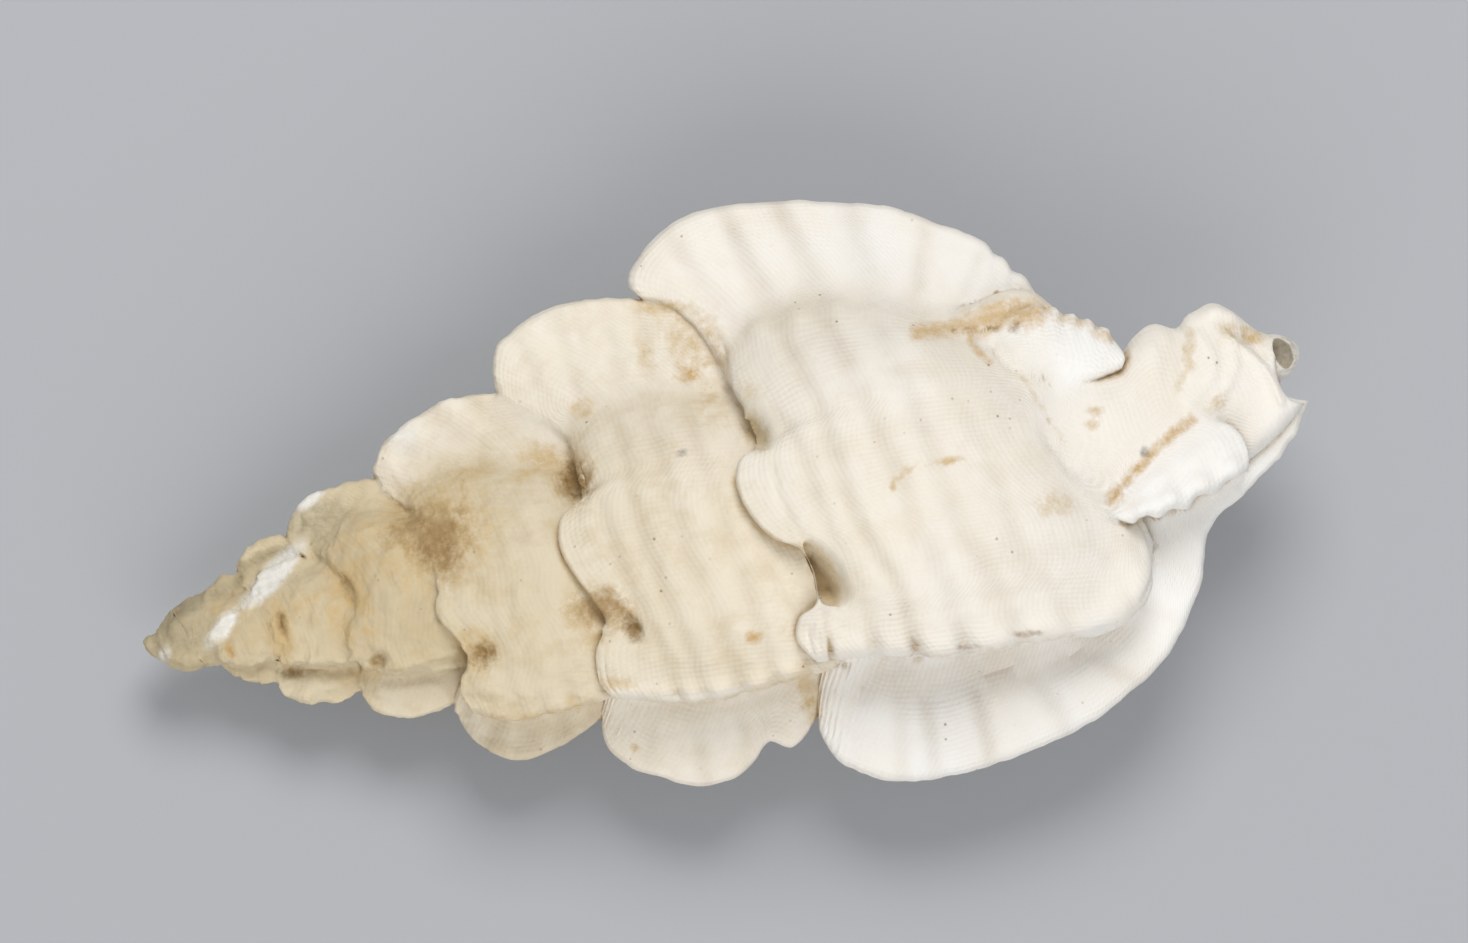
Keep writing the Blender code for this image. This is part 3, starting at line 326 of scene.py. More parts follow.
# Lines where one plate runs into the next without a step, and how far that reaches
RUN_TOGETHER = (
    ([(9.1, 1.2), (9.5, 0.9), (9.9, 0.4), (10.2, -0.1), (10.35, -0.5)], 0.26),
    ([(10.25, -0.72), (10.5, -0.5), (10.8, -0.27), (11.2, -0.06), (11.4, 0.0)], 0.14),
    ([(6.6, 1.75), (7.15, 2.0), (7.85, 2.0), (8.45, 1.8), (8.9, 1.5)], 0.13),
    ([(6.72, 1.2), (6.62, 1.6), (6.48, 1.96), (6.15, 2.28)], 0.2),
    ([(6.84, 1.0), (6.88, 0.84), (6.89, 0.69)], 0.07),
    ([(7.12, -0.52), (7.23, -0.79), (7.31, -1.1)], 0.08),
    ([(4.76, 1.12), (5.1, 1.38), (5.85, 1.4), (6.5, 1.3)], 0.09),
    ([(4.25, 1.6), (4.45, 1.42), (4.6, 1.25), (4.76, 1.0)], 0.2),
    ([(2.95, 0.9), (3.4, 1.1), (4.0, 1.08), (4.6, 0.95)], 0.22),
    ([(2.95, 0.9), (3.0, 0.6), (3.08, 0.2)], 0.22),
    ([(1.85, 0.62), (2.2, 0.85), (2.7, 0.85), (3.1, 0.7)], 0.16),
    ([(1.85, 0.62), (2.1, 0.25), (2.22, -0.08), (2.1, -0.45), (2.12, -0.7)], 0.22),
    ([(1.15, 0.3), (1.24, 0.05), (1.3, -0.25), (1.33, -0.5)], 0.14),
    ([(0.6, 0.12), (0.62, -0.15), (0.7, -0.4)], 0.12),
)
SOFTEN_ROUNDS = 40

# Small lumps and dents of the back: place in u and v, half sizes, turn in degrees and rise
LUMPS = (
    ((11.05, 0.8), (0.2, 0.28), 0, 0.06),
    ((11.2, 0.86), (0.1, 0.12), 0, 0.035),
    ((11.743, 1.0), (0.09, 0.08), 0, 0.07),
    ((11.89, 0.93), (0.13, 0.06), -42, 0.07),
    ((11.5, 0.98), (0.14, 0.12), 20, 0.06),
    ((7.0, 1.86), (0.14, 0.1), 20, 0.05),
    ((7.42, 1.93), (0.12, 0.1), 0, 0.05),
    ((7.85, 1.9), (0.14, 0.1), -5, 0.05),
    ((8.35, 1.78), (0.2, 0.1), -15, 0.06),
    ((9.92, 1.4), (0.06, 0.08), 0, 0.07),
    ((10.08, 1.36), (0.05, 0.06), 0, 0.06),
    ((10.25, 1.26), (0.05, 0.06), 0, 0.06),
    ((10.42, 1.17), (0.05, 0.06), 0, 0.05),
    ((10.56, 1.04), (0.06, 0.06), 0, 0.05),
    ((10.2, -1.7), (0.32, 0.17), 25, 0.07),
    ((10.35, -1.4), (0.2, 0.3), -15, 0.07),
    ((9.35, -1.82), (0.28, 0.12), 5, 0.03),
    ((9.85, 0.98), (0.25, 0.12), -15, 0.04),
    ((10.56, -0.85), (0.1, 0.06), 10, 0.06),
    ((10.87, -0.8), (0.1, 0.08), 10, 0.08),
    ((11.22, -0.72), (0.12, 0.09), 10, 0.07),
    ((11.58, -0.6), (0.12, 0.1), 15, 0.08),
    ((11.36, -0.42), (0.26, 0.12), 25, 0.05),
    ((10.8, -0.58), (0.22, 0.1), 20, 0.04),
    ((7.0, -1.4), (0.13, 0.16), 0, 0.05),
    ((7.02, -2.1), (0.12, 0.12), 0, 0.05),
    ((7.32, -2.08), (0.14, 0.07), -15, -0.05),
    ((4.77, -0.9), (0.18, 0.05), 5, 0.05),
    ((4.78, -1.35), (0.16, 0.2), 20, 0.04),
    ((5.05, -0.97), (0.08, 0.12), 15, -0.12),
    ((4.74, 0.68), (0.16, 0.2), 0, -0.09),
    ((3.42, -0.9), (0.14, 0.13), 0, -0.1),
    ((3.33, -1.25), (0.16, 0.14), 0, 0.04),
    ((3.15, -0.35), (0.09, 0.24), 10, 0.03),
    ((2.18, 0.05), (0.1, 0.25), 10, -0.06),
    ((2.33, -0.73), (0.09, 0.07), 0, -0.06),
    ((1.45, -0.68), (0.12, 0.06), 0, -0.06),
    ((1.4, -0.15), (0.06, 0.2), 0, -0.04),
    ((2.45, 0.72), (0.25, 0.14), 20, 0.05),
    ((1.75, -0.9), (0.3, 0.07), 5, 0.04),
    ((2.6, -1.1), (0.35, 0.1), -3, 0.04),
    ((3.655, 1.83), (0.05, 0.05), 0, 0.05),
)

# Fine ridges and creases of the back: points in u and v, half width and rise
CREASES = (
    ([(11.3, 1.0), (11.37, 0.85), (11.33, 0.6), (11.25, 0.35)], 0.06, -0.02),
    ([(11.05, 0.95), (11.12, 0.7), (11.1, 0.4)], 0.05, -0.012),
    ([(10.7, -0.7), (10.95, -0.62), (11.2, -0.55), (11.5, -0.45)], 0.03, -0.02),
    ([(11.51, 0.82), (11.62, 0.55), (11.55, 0.33), (11.29, 0.14)], 0.07, 0.035),
    ([(11.79, 0.78), (11.86, 0.5), (11.76, 0.28), (11.55, 0.11)], 0.06, 0.035),
    ([(11.83, 0.73), (11.98, 0.55), (12.1, 0.4), (12.18, 0.22), (12.24, -0.04)], 0.045, 0.055),
    ([(12.05, 0.72), (12.1, 0.6), (12.15, 0.45)], 0.06, -0.04),
    ([(8.02, -0.06), (8.12, 0.02), (8.25, 0.09), (8.45, 0.11), (8.8, 0.04), (9.1, -0.02)], 0.03, -0.02),
    ([(8.45, -0.3), (8.72, -0.32), (9.0, -0.33)], 0.03, -0.012),
    ([(7.6, -1.46), (8.4, -1.44), (9.2, -1.47), (9.6, -1.48)], 0.06, -0.006),
    ([(7.75, -2.16), (8.3, -2.22), (9.2, -2.25), (9.9, -2.15)], 0.13, -0.09),
    ([(6.85, -1.62), (6.83, -1.42), (6.93, -1.28), (7.1, -1.24)], 0.018, -0.02),
    ([(6.95, -1.65), (6.94, -1.46), (7.02, -1.36), (7.15, -1.33)], 0.018, -0.016),
    ([(7.05, -1.68), (7.05, -1.5), (7.12, -1.43), (7.22, -1.42)], 0.018, -0.012),
    ([(10.35, -1.78), (10.52, -1.5), (10.56, -1.2), (10.5, -0.95)], 0.03, -0.03),
    ([(9.35, 1.2), (9.45, 1.0), (9.6, 0.82), (9.85, 0.7)], 0.04, -0.02),
    ([(9.5, 1.25), (9.62, 1.05), (9.8, 0.92)], 0.04, -0.02),
    ([(9.42, 1.22), (9.38, 1.1), (9.45, 0.95), (9.6, 0.82)], 0.02, -0.02),
    ([(9.58, 1.3), (9.68, 1.12), (9.9, 0.97)], 0.02, -0.015),
    ([(1.03, 0.42), (1.15, 0.5), (1.35, 0.58), (1.6, 0.6)], 0.06, -0.05),
    ([(1.12, 0.14), (1.22, 0.28), (1.4, 0.42), (1.72, 0.48)], 0.07, 0.05),
    ([(0.65, -0.17), (0.75, -0.03), (0.98, 0.04)], 0.05, 0.04),
    ([(0.25, 0.0), (0.4, 0.13), (0.65, 0.2)], 0.05, 0.04),
    ([(0.2, 0.17), (0.4, 0.25), (0.6, 0.28)], 0.05, -0.03),
    ([(0.12, -0.1), (0.25, -0.28), (0.5, -0.35)], 0.05, 0.03),
    ([(1.25, -0.5), (1.5, -0.57), (1.8, -0.61), (2.1, -0.64)], 0.05, 0.045),
    ([(1.3, -0.64), (1.6, -0.72), (2.0, -0.76)], 0.05, -0.045),
    ([(2.4, -0.8), (2.75, -0.84), (3.2, -0.8)], 0.05, 0.03),
    ([(2.35, -0.95), (2.75, -0.98), (3.15, -0.95)], 0.05, -0.03),
    ([(5.18, -1.66), (5.9, -1.76), (6.8, -1.72)], 0.06, 0.02),
)

# Knobs and ridges are worn and never regular: noise over the whole surface, in mm along u
WEAR = ((0.0, 0.03), (0.5, 0.04), (1.6, 0.035), (3.0, 0.025), (4.5, 0.012), (8.0, 0.006), (13.0, 0.007))

# Stains on the shell's back, with a few spots of painted shade and painted highlight: kind, place in u and v, half
# sizes, turn in degrees and strength
STAINS_AND_PAINTED_LIGHT = (
    ("mauve", (3.2, 0.42), (0.3, 0.24), 20, 1.1),
    ("mauve", (3.28, 0.18), (0.17, 0.2), 0, 0.95),
    ("mauve", (3.0, 0.58), (0.3, 0.14), 15, 0.9),
    ("tan", (3.2, 0.45), (0.55, 0.45), 20, 1.1),
    ("brown", (3.24, 0.3), (0.2, 0.2), 0, 0.35),
    ("mauve", (3.45, 0.58), (0.13, 0.12), 0, 0.6),
    ("tan", (2.8, 0.58), (0.26, 0.14), 10, 0.8),
    ("tan", (3.3, 0.82), (0.42, 0.16), 12, 0.75),
    ("tan", (3.65, 0.98), (0.26, 0.1), 5, 0.7),
    ("tan", (2.35, 0.55), (0.35, 0.16), 20, 0.5),
    ("brown", (2.17, 0.1), (0.07, 0.16), 14, 0.6),
    ("tan", (2.2, 0.05), (0.16, 0.32), 14, 1.2),
    ("tan", (2.35, 0.3), (0.3, 0.14), 20, 0.7),
    ("tan", (2.05, -0.2), (0.14, 0.34), 5, 0.8),
    ("tan", (2.3, -0.4), (0.2, 0.16), 0, 0.5),
    ("brown", (1.42, -0.14), (0.06, 0.12), 0, 0.7),
    ("tan", (1.38, -0.22), (0.12, 0.3), 0, 1.1),
    ("tan", (1.75, 0.02), (0.22, 0.1), 0, 0.5),
    ("ochre", (0.83, -0.3), (0.05, 0.07), 0, 1.0),
    ("tan", (0.76, 0.16), (0.08, 0.07), 0, 0.8),
    ("brown", (1.42, -0.68), (0.12, 0.06), 0, 0.7),
    ("brown", (2.33, -0.74), (0.08, 0.08), 0, 0.8),
    ("tan", (2.1, -0.86), (0.22, 0.08), 0, 0.7),
    ("brown", (4.78, 0.68), (0.14, 0.18), 0, 1.2),
    ("tan", (4.74, 0.74), (0.22, 0.26), 0, 1.0),
    ("tan", (4.5, 0.98), (0.24, 0.16), -30, 0.8),
    ("tan", (4.25, 0.85), (0.16, 0.1), 0, 0.55),
    ("mauve", (4.76, -0.68), (0.26, 0.16), -10, 1.2),
    ("tan", (4.72, -0.72), (0.36, 0.24), -10, 0.7),
    ("tan", (4.62, -0.98), (0.14, 0.1), 0, 0.6),
    ("brown", (5.05, -0.96), (0.09, 0.13), 15, 1.1),
    ("tan", (4.75, -1.5), (0.2, 0.07), -20, 0.6),
    ("brown", (3.42, -0.9), (0.13, 0.12), 0, 1.0),
    ("tan", (3.4, -0.85), (0.2, 0.2), 0, 0.9),
    ("tan", (3.3, -0.72), (0.16, 0.1), 0, 0.7),
    ("tan", (5.01, 1.43), (0.12, 0.1), 0, 0.7),
    ("ochre", (6.2, 1.56), (0.15, 0.08), 10, 0.9),
    ("tan", (6.3, 1.9), (0.3, 0.34), 10, 0.5),
    ("tan", (6.35, 1.2), (0.22, 0.3), 0, 0.35),
    ("tan", (5.77, 1.84), (0.1, 0.2), 0, 0.45),
    ("tan", (6.1, 2.27), (0.32, 0.08), -18, 0.85),
    ("tan", (6.49, 1.75), (0.14, 0.28), 10, 0.7),
    ("tan", (6.75, 1.25), (0.1, 0.12), 0, 0.4),
    ("ochre", (6.28, -1.31), (0.07, 0.07), 0, 1.0),
    ("ochre", (4.8, -2.21), (0.04, 0.04), 0, 0.9),
    ("grey", (5.94, 0.74), (0.06, 0.035), 0, 0.9),
    ("pit", (6.74, 0.82), (0.11, 0.2), 10, 1.0),
    ("pit", (7.12, -0.8), (0.12, 0.3), 14, 0.9),
    ("ochre", (10.3, 0.26), (0.08, 0.045), -8, 0.9),
    ("tan", (10.24, 0.13), (0.08, 0.06), 0, 0.6),
    ("brown", (9.78, 0.27), (0.025, 0.025), 0, 1.1),
    ("ochre", (10.3, -0.67), (0.09, 0.09), 0, 0.8),
    ("grey", (10.71, -0.27), (0.04, 0.05), 0, 1.0),
    ("tan", (9.65, -0.6), (0.24, 0.14), 0, 0.45),
    ("tan", (11.9, 0.75), (0.2, 0.12), -35, 0.5),
    ("tan", (11.58, 0.08), (0.14, 0.08), 30, 0.6),
    ("tan", (11.36, 0.62), (0.05, 0.16), -10, 0.6),
    ("tan", (12.08, 0.7), (0.14, 0.09), -35, 0.9),
    ("tan", (6.72, -2.05), (0.1, 0.3), 0, 0.8),
    ("tan", (4.3, -1.6), (0.3, 0.1), 10, 0.35),
    # Painted shade on the face of the fourth top flange, beside the edge where a smaller turn comes out of it.
    ("olive", (1.95, 0.85), (0.3, 0.16), 15, 0.9),
    # Painted shade inside the canal's open end.
    ("olive", (12.4, 0.45), (0.12, 0.2), 0, 0.6),
    ("olive", (0.4, 0.24), (0.34, 0.12), 12, 1.0),
    ("olive", (0.3, -0.2), (0.2, 0.12), 0, 0.6),
    ("olive", (0.25, 0.05), (0.42, 0.42), 0, 0.85),
    # Painted shade on the face of the sixth top flange, beside the edge where a smaller turn comes out of it.
    ("olive", (0.75, 0.33), (0.3, 0.1), 20, 0.6),
    ("white", (1.98, 1.08), (0.18, 0.05), 28, 1.2),
    # These two whiten the worn, broken edges where two small turns come out of their flanges; they are partly a
    # painted highlight on those lit edges.
    ("white", (1.43, 0.37), (0.34, 0.09), 36, 1.8),
    ("white", (0.8, -0.05), (0.19, 0.07), 38, 1.6),
    ("white", (3.08, 1.52), (0.15, 0.12), 30, 0.8),
    ("white", (0.12, -0.25), (0.06, 0.14), -20, 0.7),
)

# Stains that follow a line, with one band of painted shade: kind, points in u and v, half width and strength
STREAKS_AND_PAINTED_SHADE = (
    ("white", [(4.75, -1.58), (5.0, -1.7), (5.45, -1.8), (6.1, -1.83)], 0.07, 0.4),
    ("ochre", [(10.26, -0.69), (10.5, -0.5), (10.77, -0.31), (11.05, -0.14), (11.27, -0.04)], 0.06, 1.0),
    ("tan", [(8.02, -0.06), (8.12, 0.02), (8.25, 0.09), (8.45, 0.11), (8.8, 0.04)], 0.025, 1.1),
    ("tan", [(11.45, 0.9), (11.4, 0.6), (11.2, 0.3)], 0.07, 0.4),
    ("tan", [(9.6, 0.8), (9.75, 0.4), (9.9, 0.0)], 0.05, 0.3),
    ("sand", [(8.62, 1.47), (9.0, 1.43), (9.3, 1.42)], 0.09, 1.0),
    ("sand", [(9.25, 1.42), (9.5, 1.46), (9.7, 1.46), (9.85, 1.4)], 0.14, 1.1),
    ("sand", [(9.15, 1.4), (9.18, 1.2), (9.3, 1.02)], 0.05, 0.8),
    ("sand", [(9.9, 1.5), (10.15, 1.3), (10.4, 1.18), (10.6, 0.98)], 0.06, 0.75),
    ("brown", [(9.0, 1.4), (9.25, 1.36), (9.52, 1.33), (9.75, 1.27)], 0.025, 0.7),
    ("brown", [(7.05, -1.78), (7.45, -1.86), (7.55, -1.9)], 0.03, 0.45),
    ("brown", [(7.86, -1.86), (8.0, -1.88)], 0.03, 0.4),
    ("brown", [(8.35, -1.86), (8.55, -1.9)], 0.035, 0.6),
    ("brown", [(8.98, -1.86), (9.2, -1.9)], 0.04, 0.6),
    # Painted shade on the face of the fifth top flange, along the edge where a smaller turn comes out of it.
    ("olive", [(1.03, 0.36), (1.12, 0.5), (1.35, 0.59), (1.62, 0.6)], 0.06, 1.1),
    ("tan", [(6.9, -1.8), (7.6, -1.85), (8.6, -1.95), (9.6, -2.0)], 0.04, 0.3),
    ("tan", [(4.95, -1.7), (5.5, -1.87), (6.2, -1.86), (6.8, -1.82)], 0.035, 0.45),
    ("tan", [(3.3, -1.55), (3.8, -1.65), (4.5, -1.64)], 0.04, 0.5),
    ("tan", [(6.42, 0.35), (6.45, 0.0), (6.7, -0.35), (6.95, -0.5)], 0.05, 0.5),
    ("tan", [(4.46, 0.3), (4.48, -0.1), (4.62, -0.45)], 0.05, 0.5),
)

# Colours of the stains, of the painted shade and of the painted highlight
STAIN_AND_PAINTED_LIGHT_COLOURS = dict(
    sand=(0.62, 0.43, 0.21),
    tan=(0.56, 0.40, 0.19),
    ochre=(0.52, 0.33, 0.12),
    olive=(0.37, 0.31, 0.19),
    pit=(0.58, 0.45, 0.26),
    mauve=(0.35, 0.225, 0.095),
    brown=(0.25, 0.15, 0.05),
    grey=(0.22, 0.21, 0.19),
    white=(0.80, 0.78, 0.73),
)


def spline(padded):
    """Dense points on a smooth curve through all knots but the first and the last."""
    t = np.linspace(0, 1, 16, endpoint=False)[:, None]
    dense = []
    for a, b, c, d in zip(padded, padded[1:], padded[2:], padded[3:]):
        bend = 2 * a - 5 * b + 4 * c - d + t * (3 * (b - c) + d - a)
        dense.append(b + 0.5 * t * (c - a + t * bend))
    return np.vstack(dense)


def smooth_curve(points, count):
    """Evenly spaced points on a smooth curve through the given ones."""
    knots = np.array(points, dtype=float)
    dense = spline(np.vstack([2 * knots[0] - knots[1], knots, 2 * knots[-1] - knots[-2]]))
    return along(np.vstack([dense, knots[-1:]]), np.linspace(0, 1, count))


def along(line, where):
    """Points of a dense line at the given shares of its length."""
    steps = np.linalg.norm(np.diff(line, axis=0), axis=1)
    length = np.concatenate([[0], np.cumsum(steps)]) / steps.sum()
    return np.stack([np.interp(where, length, line[:, k]) for k in range(line.shape[1])], axis=1)


def shares(length, pitch):
    """Shares from 0 to 1, about a pitch apart and closer together at both ends."""
    t = np.linspace(0, 1, max(8, round(length / pitch)))
    return t - EDGE_CROWDING * np.sin(2 * math.pi * t) / (2 * math.pi)


def grid(stage):
    """Shares down and across a patch whose spacing follows the plate's size."""
    pitch = PITCH * (0.4 + 0.6 * stage.get("size", 1.0))
    lengths = []
    for sides in ((stage["start"], stage["end"]),
                  ([stage["start"][0]] + stage["post"] + [stage["end"][0]],
                   [stage["start"][-1]] + stage["front"] + [stage["end"][-1]])):
        lengths.append(np.mean([np.linalg.norm(np.diff(smooth_curve(side, 60), axis=0), axis=1).sum()
                                for side in sides]))
    return shares(lengths[1], pitch), shares(lengths[0], pitch)


def patch(stage, down, across):
    """Plan points of a four-edged patch. post and front hold only the points between the corners."""
    start = stage["start"]
    end = stage["end"]
    start_row = along(smooth_curve(start, 400), across)
    end_row = along(smooth_curve(end, 400), across)
    post_side = along(smooth_curve([start[0]] + stage["post"] + [end[0]], 400), down)
    front_side = along(smooth_curve([start[-1]] + stage["front"] + [end[-1]], 400), down)
    g = down[:, None, None]
    s = across[None, :, None]
    rows = (1 - g) * start_row[None] + g * end_row[None]
    sides = (1 - s) * post_side[:, None] + s * front_side[:, None]
    corners = ((1 - g) * ((1 - s) * start_row[0] + s * start_row[-1])
               + g * ((1 - s) * end_row[0] + s * end_row[-1]))
    return rows + sides - corners


def edge_distances(plan):
    """Distance of every plan point from the patch's start, end, post and front edges."""
    down = np.linalg.norm(np.diff(plan, axis=0), axis=2)
    from_start = np.concatenate([np.zeros((1, plan.shape[1])), np.cumsum(down, axis=0)])
    across = np.linalg.norm(np.diff(plan, axis=1), axis=2)
    from_post = np.concatenate([np.zeros((plan.shape[0], 1)), np.cumsum(across, axis=1)], axis=1)
    return from_start, from_start[-1:] - from_start, from_post, from_post[:, -1:] - from_post


def line_distance(plan, points, half):
    """Distance of every plan point from a smooth line, in half widths. It is only found near the line."""
    line = smooth_curve(points, 40)
    flat = plan[..., :2].reshape(-1, 2)
    inside = ((flat > line.min(axis=0) - 3 * half) & (flat < line.max(axis=0) + 3 * half)).all(axis=1)
    close = flat[inside]
    nearest = np.full(len(close), 99.0)
    for a, b in zip(line, line[1:]):
        step = b - a
        share = np.clip((close - a) @ step / (step @ step), 0, 1)
        nearest = np.minimum(nearest, ((close - a - share[:, None] * step) ** 2).sum(axis=1))
    distance = np.full(len(flat), 99.0)
    distance[inside] = np.sqrt(nearest) / half
    return distance.reshape(plan.shape[:-1])


def spot_distance(places, centre, half, turn):
    """Distance from the middle of a turned oval, as a share of its half sizes."""
    away = places[:, :2] - centre
    c, s = math.cos(math.radians(turn)), math.sin(math.radians(turn))
    return np.hypot((away[:, 0] * c + away[:, 1] * s) / half[0], (away[:, 1] * c - away[:, 0] * s) / half[1])


def fall(distance, radius):
    """Drop of a rounded edge at a distance from it."""
    near = np.clip(1 - distance / radius, 0, 1)
    return radius * (1 - np.sqrt(1 - near ** 2))


def level(points, u):
    """Smooth height read at u."""
    fine = smooth_curve(points, 200)
    return np.interp(u, fine[:, 0], fine[:, 1])


def arch(g, low=0.26, peak=0.6, high=0.68):
    """Height across a dome, from its start edge to its crest, as a share of the crown."""
    before = (g - peak) * math.sqrt(1 - low ** 2) / peak
    after = (g - peak) * math.sqrt(1 - high ** 2) / (1 - peak)
    return np.sqrt(1 - np.where(g < peak, before, after) ** 2)


def rough(plan, scale, seed=0.0):
    """Smooth noise over the plan points, from about -1 to 1."""
    flat = plan.reshape(-1, 2)
    values = [noise.fractal(Vector((a * scale, b * scale, seed)), 1.0, 2.0, 3) for a, b in flat]
    return np.array(values).reshape(plan.shape[:2])


def valleys(stage, across, plan):
    """How deep every plan point lies in a valley between two cords, wide and narrow."""
    wide = np.zeros(plan.shape[:2])
    narrow = np.zeros(plan.shape[:2])
    for line, half, depth in stage.get("bands", ()):
        away = line_distance(plan, line, half)
        wide = np.maximum(wide, depth * np.exp(-away ** 2))
        narrow = np.maximum(narrow, depth * np.exp(-(1.4 * away) ** 2))
    if "cords" in stage:
        wander = 0.012 * rough(plan, 0.9, 3.0)
        wide = 0.5 - 0.5 * np.cos(2 * math.pi * stage["cords"] * (across[None, :] + wander))
        narrow = wide ** 3
    return wide, narrow


def riblets(stage, across, from_post, size):
    """Fine riblets that fan over the lobe nearest the apex."""
    reach = stage.get("riblets", 0.0)
    if not reach:
        return 0.0
    count = round(from_post[:, -1].max() / (RIBLET_PITCH * size ** 0.5))
    fade = np.clip(1.3 - across / reach, 0, 1)[None, :]
    return RIBLET_HEIGHT * fade * np.cos(2 * math.pi * count * across)[None, :]


def dome(stage):
    """Upper and lower sheet of a half turn between two flanges, and what its surface shows."""
    down, across = grid(stage)
    plan = patch(stage, down, across)
    size = stage.get("size", 1.0)
    from_start, from_end, from_post, from_front = edge_distances(plan)
    wide, narrow = valleys(stage, across, plan)
    if narrow.any():
        ahead = plan[-1] - plan[-2]
        ahead /= np.linalg.norm(ahead, axis=1)[:, None]
        push = SCALLOP * size * (0.3 - narrow) * np.exp(-from_end / (0.12 * size))
        plan = plan + push[..., None] * ahead[None]
    lip = DOME_LIP * size
    height = level(stage["crown"], plan[..., 0]) * arch(from_start / from_start[-1:], *stage.get("arch", ()))
    height -= CORD_HEIGHT * size * wide * np.sin(math.pi * down)[:, None] ** 0.5
    height += CREST_BUMP * size * (0.35 - narrow) * np.exp(-((from_end / size - 0.14) / 0.15) ** 2)
    height += START_BUMP * size * (0.2 - narrow) * np.exp(-((from_start / size - 0.08) / 0.12) ** 2)
    height += CREST_FLARE * size * np.exp(-from_end / (0.18 * size))
    height += riblets(stage, across, from_post, size) * np.clip(down * 5 - 3.6, 0, 1)[:, None]
    height -= fall(from_start, 0.5 * lip) + fall(from_end, 2.0 * lip) + fall(from_post, lip)
    drop, reach = stage.get("front_drop", (0.0, 1.0))
    height -= fall(from_front, lip) + drop * np.clip(1 - from_front / reach, 0, 1) ** 2
    centre = plan.reshape(-1, 2).mean(axis=0)
    if "belly" in stage:
        under = -stage["belly"] * height
    else:
        under = -stage["depth"] * (1 - 1.1 * down[:, None] ** 4) + 0 * height
    age = stage["age"] + POST_YELLOW * np.exp(-from_post / (0.5 * size))
    # Whiter along the crest: a painted highlight on the bulge that faces the light.
    age = np.maximum(age - CREST_HIGHLIGHT * np.exp(-from_end / (0.28 * size)), 0)
    marks = dict(age=age, growth=from_start, spiral=from_post, band=wide)
    return np.dstack([plan, height]), np.dstack([centre + (plan - centre) * (1 - UNDERCUT), under]), marks


def flange(stage):
    """Both faces of a flange: a thin plate with a rounded rim and ribs that fan out over it."""
    down, across = grid(stage)
    plan = patch(stage, down, across)
    size = stage.get("size", 1.0)
    from_start, from_end, from_post, from_front = edge_distances(plan)
    near = (1 - from_start / from_start[-1:]) ** 1.5
    ahead = plan[-1] - plan[-2]
    ahead /= np.linalg.norm(ahead, axis=1)[:, None]
    chips = RIM_WOBBLE * size * rough(plan[-1:], 4.5, 2.0) * np.exp(-from_end / (0.15 * size))
    plan = plan + chips[..., None] * ahead[None]
    wide, narrow = valleys(stage, across, plan)
    fan = FAN_HEIGHT * size * (0.3 - wide) * np.sin(math.pi * down)[:, None] ** 0.5
    fan += riblets(stage, across, from_post, size)
    edge = np.minimum(np.minimum(from_end, from_post), from_front)
    closing = 0.06 + 0.94 * np.sqrt(1 - np.clip(1 - edge / (RIM_LIP * size), 0, 1) ** 2)
    taper = level(stage.get("taper", [(0, 1), (1, 1)]), across)[None, :]
    back, face = [rim + (root * taper - rim) * near for root, rim in (stage["back"], stage["face"])]
    middle = (back + face) / 2 + fan
    half = (back - face) / 2 * closing
    marks = dict(age=stage["age"], growth=from_end, spiral=from_post, band=wide)
    return np.dstack([plan, middle + half]), np.dstack([plan, middle - half]), marks


def solid(name, sheets, collection, flip=False, waist=0.0):
    """One closed body between two sheets of the same grid. A waist draws its side walls in."""
    upper, lower, marks = sheets
    rows, columns = upper.shape[:2]
    count = rows * columns
    corner = (np.arange(rows - 1)[:, None] * columns + np.arange(columns - 1)[None, :]).ravel()
    top = np.stack([corner, corner + 1, corner + 1 + columns, corner + columns], axis=1)
    low = np.stack([corner, corner + columns, corner + 1 + columns, corner + 1], axis=1) + count
    ring = list(range(columns))
    ring += [i * columns + columns - 1 for i in range(1, rows)]
    ring += [(rows - 1) * columns + j for j in range(columns - 2, -1, -1)]
    ring += [i * columns for i in range(rows - 2, 0, -1)]
    ring = np.array(ring)
    rings = [ring]
    layers = [upper.reshape(-1, 3), lower.reshape(-1, 3)]
    if waist:
        rim = layers[0][ring]
        turn = np.roll(rim, -1, axis=0) - np.roll(rim, 1, axis=0)
        inward = np.column_stack([turn[:, 1], -turn[:, 0], np.zeros(len(ring))])
        inward /= np.linalg.norm(inward, axis=1)[:, None]
        if np.sum(inward * (rim.mean(axis=0) - rim)) < 0:
            inward = -inward
        layers.append(rim * 0.75 + layers[1][ring] * 0.25 + inward * waist)
        rings.append(2 * count + np.arange(len(ring)))
    rings.append(ring + count)
    walls = [np.stack([np.roll(high, -1), high, under, np.roll(under, -1)], axis=1)
             for high, under in zip(rings, rings[1:])]
    faces = np.concatenate([top, low] + walls)
    points = np.concatenate(layers)
    if flip:
        points = points * np.array([1, 1, -1])
    for key, value in marks.items():
        sheet = np.broadcast_to(value, (rows, columns)).ravel()
        parts = [sheet, sheet] + ([sheet[ring]] if waist else [])
        marks[key] = np.concatenate(parts)
    return body(name, points, faces.tolist(), collection, marks)


def rings_body(name, rings, collection, closed=False, age=0.1):
    """One closed body through a row of rings with the same number of points."""
    count = len(rings)
    sides = len(rings[0])
    faces = []
    for i in range(count if closed else count - 1):
        for k in range(sides):
            a = i * sides + k
            b = i * sides + (k + 1) % sides
            ahead = ((i + 1) % count - i) * sides
            faces.append((a, b, b + ahead, a + ahead))
    if not closed:
        faces.append(tuple(range(sides))[::-1])
        faces.append(tuple(range((count - 1) * sides, count * sides)))
    points = np.concatenate(rings)
    none = np.zeros(len(points))
    marks = dict(age=none + age, growth=points[:, 0], spiral=points[:, 1], band=none)
    return body(name, points, faces, collection, marks)


